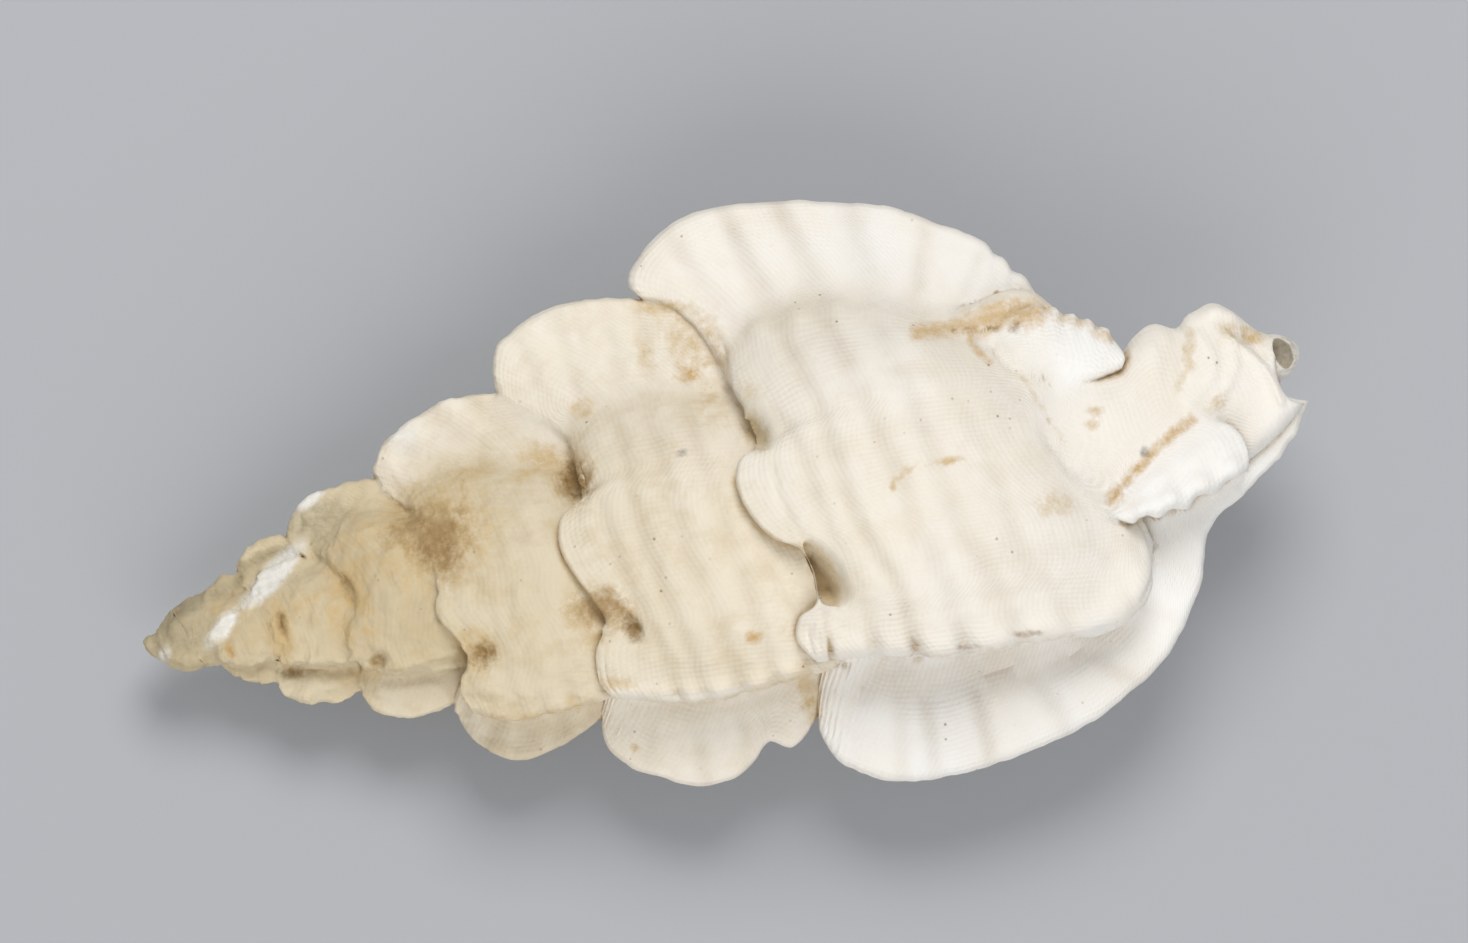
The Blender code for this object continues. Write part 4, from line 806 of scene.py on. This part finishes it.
def tube(name, path, radii, collection, sides=10, squash=1.0, age=0.1):
    """One closed body round a path, with a radius at each of its points."""
    path = np.array(path, dtype=float)
    ahead = np.gradient(path, axis=0)
    side = np.cross(ahead, (0, 0, 1))
    side /= np.linalg.norm(side, axis=1)[:, None]
    rise = np.cross(side, ahead)
    rise /= np.linalg.norm(rise, axis=1)[:, None]
    turn = np.linspace(0, 2 * math.pi, sides, endpoint=False)[:, None]
    rings = [place + radius * (np.cos(turn) * a + squash * np.sin(turn) * b)
             for place, radius, a, b in zip(path, radii, side, rise)]
    return rings_body(name, rings, collection, age=age)


MARKS = dict(places=[], age=[], growth=[], spiral=[], band=[])


def body(name, points, faces, collection, marks):
    """A mesh object in millimetres, with its faces turned outwards. Its marks are kept by place."""
    mesh = bpy.data.meshes.new(name)
    mesh.from_pydata(points.tolist(), [], faces)
    work = bmesh.new()
    work.from_mesh(mesh)
    bmesh.ops.triangulate(work, faces=work.faces)
    bmesh.ops.recalc_face_normals(work, faces=work.faces)
    if work.calc_volume(signed=True) < 0:
        bmesh.ops.reverse_faces(work, faces=work.faces)
    work.to_mesh(mesh)
    work.free()
    MARKS["places"].append(points)
    for key, values in marks.items():
        MARKS[key].append(values)
    piece = bpy.data.objects.new(name, mesh)
    collection.objects.link(piece)
    return piece


def shrunk(stage, factor):
    """The same growth stage earlier in the shell's life: everything scaled about the apex."""
    small = dict(stage)
    for edge in ("start", "end", "post", "front", "crown"):
        small[edge] = [(a * factor, b * factor) for a, b in stage[edge]]
    small["size"] = stage.get("size", 1.0) * factor
    small["age"] = min(0.9, stage["age"] + 1.1 * (1 - factor))
    return small


def build_growth(collection):
    """Every dome and flange as a closed body of its own."""
    pieces = []
    for i, stage in enumerate(BACK_DOMES):
        size = stage.get("size", 1.0)
        stage = dict(stage, depth=BACK_DEPTH * size * (1 + 0.02 * i))
        pieces.append(solid(f"back_dome_{i}", dome(stage), collection, waist=WAIST * size))
    for i in range(HIDDEN_TURNS):
        stage = shrunk(FRONT_DOME, TURN_SHRINK ** i)
        stage["depth"] = FRONT_DEPTH * stage["size"] * (1 + 0.02 * i)
        pieces.append(solid(f"front_dome_{i}", dome(stage), collection, flip=True,
                            waist=WAIST * stage["size"]))
    stage = dict(APERTURE_DOME, depth=APERTURE_DEPTH)
    pieces.append(solid("aperture_dome", dome(stage), collection, flip=True))
    for label, flanges in (("top", TOP_FLANGES), ("bottom", BOTTOM_FLANGES)):
        for i, stage in enumerate(flanges):
            pieces.append(solid(f"{label}_flange_{i}", flange(stage), collection))
    for label, stage in CANAL_PLATES.items():
        pieces.append(solid(label, dome(dict(stage, depth=CANAL_DEPTH)), collection))
    return pieces


def build_core(collection):
    """The spindle inside the turns, the eroded tip, the underside of the canal and the peristome."""
    lean = [(-0.03, 0.03), (0.07, -0.07), (0.45, -0.09), (1.0, -0.05), (9.0, -0.1), (10.6, 0.1), (11.6, 0.2),
            (12.4, 0.2)]
    spindle = [(0.12, 0.08), (0.6, 0.2), (2.0, 0.38), (4.0, 0.66), (6.0, 0.9), (8.0, 0.95), (9.6, 0.7),
               (10.6, 0.45), (11.4, 0.3)]
    tip = [(-0.03, 0.02), (0.07, 0.17), (0.22, 0.31), (0.45, 0.38), (0.8, 0.4), (1.1, 0.3)]
    canal = [(9.8, 0.55), (10.4, 0.5), (11.0, 0.46), (11.6, 0.4), (12.1, 0.28), (12.3, 0.2)]
    shapes = (("spindle", spindle, 0.0, 0.9, 0.4), ("tip", tip, 0.0, 0.8, 1.0), ("canal", canal, -0.08, 0.9, 0.05))
    pieces = []
    for name, profile, lift, squash, age in shapes:
        profile = smooth_curve(profile, 70)
        path = [(u, level(lean, u), lift) for u in profile[:, 0]]
        pieces.append(tube(name, path, profile[:, 1], collection, sides=44, squash=squash, age=age))
    ear = smooth_curve([(11.7, 0.36, -0.12, 0.24), (12.05, 0.4, -0.04, 0.26), (12.3, 0.43, 0.08, 0.25),
                        (12.42, 0.445, 0.15, 0.19), (12.5, 0.45, 0.2, 0.1)], 24)
    pieces.append(tube("ear", ear[:, :3], ear[:, 3], collection, sides=40, age=0.0))
    pieces.append(peristome(collection))
    return pieces


def aperture_oval(count, grow=0.0):
    """Points round the aperture's oval, in u and v."""
    turn = np.linspace(0, 2 * math.pi, count, endpoint=False)
    a = (APERTURE_SIZE[0] / 2 + grow) * np.cos(turn)
    b = (APERTURE_SIZE[1] / 2 + grow) * np.sin(turn)
    u = APERTURE_CENTRE[0] + a * math.cos(APERTURE_SLANT) - b * math.sin(APERTURE_SLANT)
    v = APERTURE_CENTRE[1] + a * math.sin(APERTURE_SLANT) + b * math.cos(APERTURE_SLANT)
    return np.stack([u, v], axis=1)


def peristome(collection, count=120, sides=20):
    """The raised lip round the aperture: a closed ring."""
    rings = []
    for place in aperture_oval(count, PERISTOME_RADIUS * 0.6):
        out = place - np.array(APERTURE_CENTRE)
        out /= np.linalg.norm(out)
        base = PERISTOME_LEVEL - 0.06 * (place[0] - APERTURE_CENTRE[0])
        turn = np.linspace(0, 2 * math.pi, sides, endpoint=False)
        aside = place + out * PERISTOME_RADIUS * np.cos(turn)[:, None]
        rings.append(np.column_stack([aside, -base + 1.7 * PERISTOME_RADIUS * np.sin(turn)]))
    return rings_body("peristome", rings, collection, closed=True, age=0.0)


def closed_curve(points, count):
    """Evenly spaced points on a smooth loop through the given ones."""
    knots = np.array(points, dtype=float)
    dense = spline(np.vstack([knots[-1:], knots, knots[:2]]))
    dense = np.vstack([dense, knots[:1]])
    return along(dense, np.linspace(0, 1, count, endpoint=False))


def build_cutters(collection):
    """The throat of the aperture, the canal's groove and its open end, and the two deep pits."""
    throat = ((-1.9, 0.02), (-1.45, 0.0), (-1.1, -0.12), (-0.8, -0.24), (-0.45, -0.42))
    rings = [np.column_stack([aperture_oval(96, grow), np.full(96, depth)])
             for depth, grow in smooth_curve(throat, 24)]
    cutters = [rings_body("throat", rings, collection, age=0.0)]
    groove = [(9.2, -0.8, -1.2), (9.8, -0.5, -0.95), (10.4, -0.12, -0.66), (11.0, 0.12, -0.5),
              (11.7, 0.22, -0.44), (12.3, 0.25, -0.36), (12.8, 0.25, -0.3)]
    cutters.append(tube("groove", smooth_curve(groove, 60), [GROOVE_RADIUS] * 60, collection, sides=20,
                        squash=1.8))
    bore = smooth_curve([(11.8, 0.36, -0.06, 0.1), (12.1, 0.4, 0.0, 0.15), (12.3, 0.44, 0.11, 0.17),
                         (12.38, 0.455, 0.3, 0.175), (12.44, 0.47, 0.7, 0.2)], 30)
    cutters.append(tube("bore", bore[:, :3], bore[:, 3], collection, sides=32, squash=0.6))
    for i, outline in enumerate(PITS):
        loop = closed_curve(outline, 48)
        brink = np.array([loop[:, 0].min(), loop[:, 1].mean()])
        rings = [np.column_stack([brink + (loop - brink) * share, np.full(len(loop), w)])
                 for w, share in smooth_curve(PIT_LEVELS, 12)]
        cutters.append(rings_body(f"pit_{i}", rings, collection, age=0.7))
    return cutters


def combine(target, others, operation):
    """Join the others to the target, or cut them out of it, one at a time."""
    for other in others:
        step = target.modifiers.new(other.name, "BOOLEAN")
        step.operation = operation
        step.solver = "MANIFOLD"
        step.object = other


def evaluated_mesh(target):
    """The mesh that an object's modifiers make."""
    graph = bpy.context.evaluated_depsgraph_get()
    return bpy.data.meshes.new_from_object(target.evaluated_get(graph))


def fill_voids(mesh):
    """Keep the outer surface alone: the small sealed gaps between the plates inside are filled."""
    work = bmesh.new()
    work.from_mesh(mesh)
    waiting = set(work.verts)
    islands = []
    while waiting:
        island = set()
        edge = [waiting.pop()]
        while edge:
            vertex = edge.pop()
            island.add(vertex)
            beside = {link.other_vert(vertex) for link in vertex.link_edges} & waiting
            waiting -= beside
            edge.extend(beside)
        islands.append(island)
    outside = max(islands, key=len)
    bmesh.ops.delete(work, geom=[vertex for vertex in work.verts if vertex not in outside], context="VERTS")
    work.to_mesh(mesh)
    work.free()


def vertex_places(mesh):
    """Vertex places as an array."""
    places = np.empty(len(mesh.vertices) * 3, np.float32)
    mesh.vertices.foreach_get("co", places)
    return places.reshape(-1, 3).astype(float)


def vertex_normals(mesh):
    """Vertex normals as an array."""
    normals = np.empty(len(mesh.vertices) * 3, np.float32)
    mesh.vertex_normals.foreach_get("vector", normals)
    return normals.reshape(-1, 3).astype(float)


def add_mark(mesh, name, values):
    """Keep one number for each vertex, for the material."""
    mark = mesh.attributes.new(name, "FLOAT", "POINT")
    mark.data.foreach_set("value", np.asarray(values, np.float32))


def carry_marks(mesh):
    """Give every vertex of the joined surface the marks of the plate point it came from."""
    places = np.concatenate(MARKS["places"])
    tree = KDTree(len(places))
    for i, place in enumerate(places.tolist()):
        tree.insert(place, i)
    tree.balance()
    nearest = [tree.find(place)[1] for place in vertex_places(mesh).tolist()]
    return {key: np.concatenate(values)[nearest] for key, values in MARKS.items() if key != "places"}


def move_vertices(mesh, places):
    """Put the vertices at new places."""
    mesh.vertices.foreach_set("co", places.astype(np.float32).ravel())
    mesh.update()


def wear(mesh):
    """Wear the surface: a slight waviness on the last turn and deep erosion at the apex."""
    places = vertex_places(mesh)
    depth = np.interp(places[:, 0], [u for u, _ in WEAR], [amount for _, amount in WEAR])
    for i, place in enumerate(places):
        at = Vector(place)
        coarse = noise.noise_vector(at * 4.0)
        fine = noise.noise_vector(at * 9.0)
        finest = noise.noise_vector(at * 19.0)
        places[i] += depth[i] * np.array(coarse + 0.6 * fine + 0.4 * finest)
    move_vertices(mesh, places)


def soften(mesh, marks):
    """Even out the seams: a little everywhere, and fully where plates run together."""
    places = vertex_places(mesh)
    ends = np.empty(len(mesh.edges) * 2, np.int32)
    mesh.edges.foreach_get("vertices", ends)
    a, b = ends.reshape(-1, 2).T
    links = np.bincount(a, minlength=len(places)) + np.bincount(b, minlength=len(places))
    weight = np.interp(places[:, 0], [0.0, 1.5, 3.0, 4.5, 6.0], [0.12, 0.1, 0.05, 0.012, 0.01])
    for line, half in RUN_TOGETHER:
        near = np.exp(-line_distance(places, line, half) ** 2) * (places[:, 2] > 0.15)
        weight = np.maximum(weight, 0.8 * near)
    fields = [places[:, 0], places[:, 1], places[:, 2]] + list(marks.values())
    for _ in range(SOFTEN_ROUNDS):
        for i, values in enumerate(fields):
            total = np.bincount(a, values[b], len(places)) + np.bincount(b, values[a], len(places))
            fields[i] = values + weight * (total / links - values)
    move_vertices(mesh, np.column_stack(fields[:3]))
    marks.update(zip(marks, fields[3:]))


def sculpt(mesh):
    """Raise the small lumps and ridges of the back, and press in its dents and creases."""
    places = vertex_places(mesh)
    normals = vertex_normals(mesh)
    rise = np.zeros(len(places))
    for centre, half, turn, amount in LUMPS:
        rise += amount * np.exp(-spot_distance(places, centre, half, turn) ** 2)
    for line, half, amount in CREASES:
        rise += amount * np.exp(-line_distance(places, line, half) ** 2)
    facing = np.clip(normals[:, 2] * 3, 0, 1) * (places[:, 2] > 0.0)
    move_vertices(mesh, places + (rise * facing)[:, None] * normals)


def crevice_marks(mesh, rays):
    """How closed in each vertex is, found by looking around it."""
    tree = BVHTree.FromPolygons([v.co for v in mesh.vertices], [p.vertices for p in mesh.polygons])
    places = vertex_places(mesh)
    normals = vertex_normals(mesh)
    index = np.arange(rays) + 0.5
    up = 1 - 0.92 * index / rays
    round_ = index * math.pi * (1 + 5 ** 0.5)
    fan = np.column_stack([np.sqrt(1 - up ** 2) * np.cos(round_), np.sqrt(1 - up ** 2) * np.sin(round_), up])
    closed = np.zeros(len(places))
    side = np.cross(normals, np.where(np.abs(normals[:, :1]) < 0.9, [[1.0, 0, 0]], [[0, 1.0, 0]]))
    side /= np.linalg.norm(side, axis=1)[:, None] + 1e-9
    other = np.cross(normals, side)
    starts = places + normals * 0.012
    for ray in fan:
        ways = side * ray[0] + other * ray[1] + normals * ray[2]
        for i in range(len(places)):
            hit = tree.ray_cast(starts[i], ways[i], CREVICE_REACH)[3]
            if hit is not None:
                closed[i] += 1 - hit / CREVICE_REACH
    return closed / rays


def stain_and_painted_light_marks(mesh):
    """Where each kind of stain, painted shade and painted highlight lies on the shell's back."""
    places = vertex_places(mesh)
    normals = vertex_normals(mesh)
    facing = np.clip(normals[:, 2] * 3 + 0.6, 0, 1) * (places[:, 2] > -0.2)
    strength = {kind: np.zeros(len(places)) for kind in STAIN_AND_PAINTED_LIGHT_COLOURS}
    for kind, centre, half, turn, amount in STAINS_AND_PAINTED_LIGHT:
        spot = amount * np.exp(-0.7 * spot_distance(places, centre, half, turn) ** 2.4)
        strength[kind] = np.maximum(strength[kind], spot)
    for kind, points, half, amount in STREAKS_AND_PAINTED_SHADE:
        spot = amount * np.exp(-line_distance(places, points, half) ** 2)
        strength[kind] = np.maximum(strength[kind], spot)
    return {kind: values * facing for kind, values in strength.items()}


def rest_turn():
    """The turn from the shell's own frame to how it rests."""
    return Matrix.Rotation(REST_TILT, 4, "Y") @ Matrix.Rotation(REST_ROLL, 4, "X")


def lay_down(mesh):
    """Turn the shell onto its aperture side, in metres. Returns the whole move."""
    move = Matrix.Scale(MM, 4) @ rest_turn()
    mesh.transform(move)
    places = vertex_places(mesh)
    low = places.min(axis=0)
    middle = (low + places.max(axis=0)) / 2
    shift = Matrix.Translation((-middle[0], -middle[1], -low[2] - FLAT_DEPTH * MM))
    mesh.transform(shift)
    return shift @ move


def box_body(name, low, high, collection):
    """A plain box, used to cut the resting flats."""
    mesh = bpy.data.meshes.new(name)
    work = bmesh.new()
    bmesh.ops.create_cube(work, size=1.0)
    for vertex in work.verts:
        vertex.co = [a + (b - a) * (c + 0.5) for a, b, c in zip(low, high, vertex.co)]
    work.to_mesh(mesh)
    work.free()
    piece = bpy.data.objects.new(name, mesh)
    collection.objects.link(piece)
    return piece


class Nodes:
    """Short names for building a node tree."""

    def __init__(self, tree):
        self.tree = tree

    def add(self, kind, **values):
        node = self.tree.nodes.new(kind)
        for key, value in values.items():
            setattr(node, key, value)
        return node

    def link(self, source, target):
        self.tree.links.new(source, target)

    def mark(self, name):
        return self.add("ShaderNodeAttribute", attribute_name=name).outputs["Fac"]

    def math(self, operation, a, b=0.0, clamp=False):
        node = self.add("ShaderNodeMath", operation=operation, use_clamp=clamp)
        for socket, value in zip(node.inputs, (a, b)):
            if isinstance(value, (int, float)):
                socket.default_value = value
            else:
                self.link(value, socket)
        return node.outputs[0]

    def noise(self, place, scale, detail=4.0, roughness=0.55):
        node = self.add("ShaderNodeTexNoise")
        node.inputs["Scale"].default_value = scale
        node.inputs["Detail"].default_value = detail
        node.inputs["Roughness"].default_value = roughness
        self.link(place, node.inputs["Vector"])
        return node.outputs["Fac"]

    def remap(self, value, low, high, to_low=0.0, to_high=1.0):
        node = self.add("ShaderNodeMapRange")
        for socket, number in zip(("From Min", "From Max", "To Min", "To Max"), (low, high, to_low, to_high)):
            node.inputs[socket].default_value = number
        self.link(value, node.inputs["Value"])
        return node.outputs[0]

    def blend(self, factor, first, second, kind="MIX"):
        node = self.add("ShaderNodeMix", data_type="RGBA", blend_type=kind)
        for socket, value in zip((node.inputs[0], node.inputs[6], node.inputs[7]), (factor, first, second)):
            if isinstance(value, tuple):
                socket.default_value = (*value, 1.0)
            elif isinstance(value, (int, float)):
                socket.default_value = value
            else:
                self.link(value, socket)
        return node.outputs[2]


def shell_material():
    """Chalky shell: cream to white along its growth, banded, stained and dusty in its crevices, with painted shade in
    its recesses and a painted highlight on its crests.
    """
    material = bpy.data.materials.new("chalky_shell")
    material.use_nodes = True
    nodes = Nodes(material.node_tree)
    surface = material.node_tree.nodes["Principled BSDF"]
    place = nodes.add("ShaderNodeTexCoord").outputs["Object"]

    ramp = nodes.add("ShaderNodeValToRGB")
    stops = ((0.0, (0.86, 0.84, 0.80)), (0.12, (0.84, 0.79, 0.71)), (0.4, (0.78, 0.70, 0.56)),
             (0.62, (0.69, 0.60, 0.44)), (0.82, (0.62, 0.52, 0.34)), (1.0, (0.50, 0.41, 0.26)))
    ramp.color_ramp.elements[0].color = (*stops[0][1], 1.0)
    ramp.color_ramp.elements[1].color = (*stops[-1][1], 1.0)
    for where, colour in stops[1:-1]:
        ramp.color_ramp.elements.new(where).color = (*colour, 1.0)
    drift = nodes.remap(nodes.noise(place, 700.0, 3.0), 0.3, 0.7, -0.1, 0.1)
    nodes.link(nodes.math("ADD", nodes.mark("age"), drift, clamp=True), ramp.inputs["Fac"])
    colour = ramp.outputs["Color"]

    # Darker tint in the valleys between cords; along the channels under the crests it is painted shade.
    fresh = nodes.remap(nodes.mark("age"), 0.35, 0.75, 1.0, 0.15)
    cloud = nodes.remap(nodes.noise(place, 1500.0, 4.0), 0.35, 0.65)
    threads = nodes.math("SINE", nodes.math("MULTIPLY", nodes.mark("spiral"), 2 * math.pi / 0.06))
    depth = nodes.math("ADD", nodes.math("MULTIPLY", cloud, 0.5), nodes.remap(threads, -1.0, 1.0, 0.35, 0.55))
    band = nodes.math("MULTIPLY", nodes.mark("band"), nodes.math("MULTIPLY", depth, fresh))
    colour = nodes.blend(nodes.math("MULTIPLY", band, 1.0, clamp=True), colour, (0.80, 0.77, 0.735), "MULTIPLY")

    growth = nodes.mark("growth")
    wobble = nodes.remap(nodes.noise(place, 1200.0, 2.0), 0.3, 0.7, -0.03, 0.03)
    striae = nodes.math("SINE", nodes.math("MULTIPLY", nodes.math("ADD", growth, wobble), 2 * math.pi / 0.055))
    faint = nodes.remap(nodes.noise(place, 1500.0, 2.0), 0.4, 0.65)
    lines = nodes.math("MULTIPLY", nodes.math("MULTIPLY", nodes.remap(striae, -1.0, 1.0), faint), fresh)
    colour = nodes.blend(nodes.math("MULTIPLY", lines, 0.35), colour, (0.92, 0.90, 0.87), "MULTIPLY")

    mottle = nodes.remap(nodes.noise(place, 2400.0, 6.0, 0.68), 0.47, 0.66)
    older = nodes.remap(nodes.mark("age"), 0.1, 0.9, 0.05, 0.8)
    colour = nodes.blend(nodes.math("MULTIPLY", mottle, older), colour, (0.55, 0.43, 0.25))

    # Painted shade: a plain darkening of every closed-in place, read from the crevice mark.
    painted_recess_shade = nodes.remap(nodes.mark("crevice"), 0.08, 0.4)
    colour = nodes.blend(painted_recess_shade, colour, (0.85, 0.80, 0.72), "MULTIPLY")
    dust = nodes.remap(nodes.noise(place, 9000.0, 4.0), 0.3, 0.7, 0.1, 1.4)
    crevice = nodes.math("MULTIPLY", nodes.remap(nodes.mark("crevice"), 0.16, 0.5), dust, clamp=True)
    colour = nodes.blend(nodes.math("MULTIPLY", crevice, 0.75), colour, (0.42, 0.29, 0.14))

    grain = nodes.noise(place, 30000.0, 3.0, 0.6)
    blotch = nodes.noise(place, 8000.0, 3.0)
    ragged = nodes.math("ADD", nodes.math("MULTIPLY", nodes.math("SUBTRACT", grain, 0.5), 0.7),
                        nodes.math("MULTIPLY", nodes.math("SUBTRACT", blotch, 0.5), 1.6))
    patchy = nodes.remap(nodes.noise(place, 14000.0, 4.0, 0.7), 0.35, 0.65, 0.68, 1.0)
    for kind, tint in STAIN_AND_PAINTED_LIGHT_COLOURS.items():
        edge = nodes.math("ADD", nodes.mark(kind), ragged)
        amount = nodes.math("MULTIPLY", nodes.remap(edge, 0.05, 1.0), nodes.remap(nodes.mark(kind), 0.02, 0.35))
        colour = nodes.blend(nodes.math("MULTIPLY", amount, patchy), colour, tint)

    cells = nodes.add("ShaderNodeTexVoronoi")
    cells.inputs["Scale"].default_value = 4500.0
    nodes.link(place, cells.inputs["Vector"])
    rare = nodes.remap(cloud, 0.4, 0.9)
    speck = nodes.math("MULTIPLY", nodes.remap(cells.outputs["Distance"], 0.09, 0.05), rare, clamp=True)
    colour = nodes.blend(nodes.math("MULTIPLY", speck, 0.7), colour, (0.2, 0.14, 0.08))
    nodes.link(colour, surface.inputs["Base Color"])

    chalk = nodes.remap(blotch, 0.3, 0.7, 0.5, 0.75)
    nodes.link(chalk, surface.inputs["Roughness"])
    surface.inputs["Specular IOR Level"].default_value = 0.3

    weave = nodes.math("ADD", nodes.math("MULTIPLY", lines, -0.6), nodes.math("MULTIPLY", threads, -0.15))
    pores = nodes.math("ADD", weave, nodes.math("MULTIPLY", nodes.math("ADD", grain, blotch), 0.7))
    bump = nodes.add("ShaderNodeBump")
    bump.inputs["Strength"].default_value = 0.5
    bump.inputs["Distance"].default_value = 0.000012
    nodes.link(pores, bump.inputs["Height"])
    nodes.link(bump.outputs["Normal"], surface.inputs["Normal"])
    return material


def build_shell():
    """The whole fine shell, laid on its aperture side. Returns it and the move from its own frame."""
    workshop = bpy.data.collections.new("plates")
    bpy.context.scene.collection.children.link(workshop)
    growth = build_core(workshop) + build_growth(workshop)
    hollows = build_cutters(workshop)
    combine(growth[0], growth[1:], "UNION")
    combine(growth[0], hollows, "DIFFERENCE")
    mesh = evaluated_mesh(growth[0])
    for piece in growth + hollows:
        bpy.data.objects.remove(piece, do_unlink=True)
    fill_voids(mesh)
    marks = carry_marks(mesh)
    soften(mesh, marks)
    sculpt(mesh)
    wear(mesh)
    marks.update(stain_and_painted_light_marks(mesh))
    marks["crevice"] = crevice_marks(mesh, 14)
    for name, values in marks.items():
        add_mark(mesh, name, values)
    move = lay_down(mesh)

    rough_shell = bpy.data.objects.new("rough_shell", mesh)
    workshop.objects.link(rough_shell)
    ground = box_body("ground", (-0.009, -0.006, -0.002), (0.009, 0.006, 0.0), workshop)
    combine(rough_shell, [ground], "DIFFERENCE")
    final = evaluated_mesh(rough_shell)
    for piece in (rough_shell, ground):
        bpy.data.objects.remove(piece, do_unlink=True)
    bpy.data.collections.remove(workshop)
    final.name = "chalky_surface"
    final.materials.clear()
    final.materials.append(shell_material())
    final.shade_smooth()
    final.set_sharp_from_angle(angle=math.radians(50))
    shell = bpy.data.objects.new("chalky_surface", final)
    bpy.context.scene.collection.objects.link(shell)
    return shell, move


def build_floor():
    """A plain pale floor."""
    mesh = bpy.data.meshes.new("floor")
    half = 0.6
    mesh.from_pydata([(-half, -half, 0), (half, -half, 0), (half, half, 0), (-half, half, 0)], [], [(0, 1, 2, 3)])
    floor = bpy.data.objects.new("floor", mesh)
    bpy.context.scene.collection.objects.link(floor)
    material = bpy.data.materials.new("pale_floor")
    material.use_nodes = True
    surface = material.node_tree.nodes["Principled BSDF"]
    surface.inputs["Base Color"].default_value = (0.42, 0.43, 0.45, 1.0)
    surface.inputs["Roughness"].default_value = 0.9
    surface.inputs["Specular IOR Level"].default_value = 0.2
    mesh.materials.append(material)


def view_frame(move):
    """The photo's right, up and back directions in the scene, and the place it is centred on."""
    turn = move.to_3x3().normalized()
    c, s = math.cos(PHOTO_TILT), math.sin(PHOTO_TILT)
    right = turn @ Vector((c, -s, 0))
    up = turn @ Vector((s, c, 0))
    back = turn @ Vector((0, 0, 1))
    return right, up, back, move @ Vector((*PHOTO_CENTRE, 0.3))


def build_camera(move):
    """A long lens looking straight down on the shell's back, as in the photo."""
    right, up, back, centre = view_frame(move)
    lens = bpy.data.cameras.new("camera")
    lens.lens = LENS
    lens.sensor_width = SENSOR
    distance = PHOTO_WIDTH * MM * LENS / SENSOR
    lens.clip_start = distance * 0.1
    lens.clip_end = distance * 10
    camera = bpy.data.objects.new("camera", lens)
    camera.matrix_world = Matrix((right, up, back)).transposed().to_4x4()
    camera.location = centre + back * distance
    bpy.context.scene.collection.objects.link(camera)
    bpy.context.scene.camera = camera


def build_light(move):
    """Soft studio light: a large key from the photo's upper left, a weak fill and a pale sky."""
    right, up, back, centre = view_frame(move)
    for name, way, size, power in (("key", (0.1, 1.0, 1.35), 0.035, 0.0285), ("fill", (0.1, -1.1, 0.95), 0.09, 0.031)):
        lamp = bpy.data.lights.new(name, "AREA")
        lamp.shape = "DISK"
        lamp.size = size
        lamp.energy = power
        light = bpy.data.objects.new(name, lamp)
        toward = (right * way[0] + up * way[1] + back * way[2]).normalized()
        light.matrix_world = toward.to_track_quat("Z", "Y").to_matrix().to_4x4()
        light.location = centre + toward * 0.07
        bpy.context.scene.collection.objects.link(light)
    world = bpy.data.worlds.new("studio")
    world.use_nodes = True
    world.node_tree.nodes["Background"].inputs["Color"].default_value = (0.97, 0.98, 1.0, 1.0)
    world.node_tree.nodes["Background"].inputs["Strength"].default_value = 0.415
    bpy.context.scene.world = world
    bpy.context.scene.view_settings.view_transform = "Standard"


shell_piece, shell_move = build_shell()
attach(shell_piece, "root")
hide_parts("shell")
build_floor()
build_camera(shell_move)
build_light(shell_move)
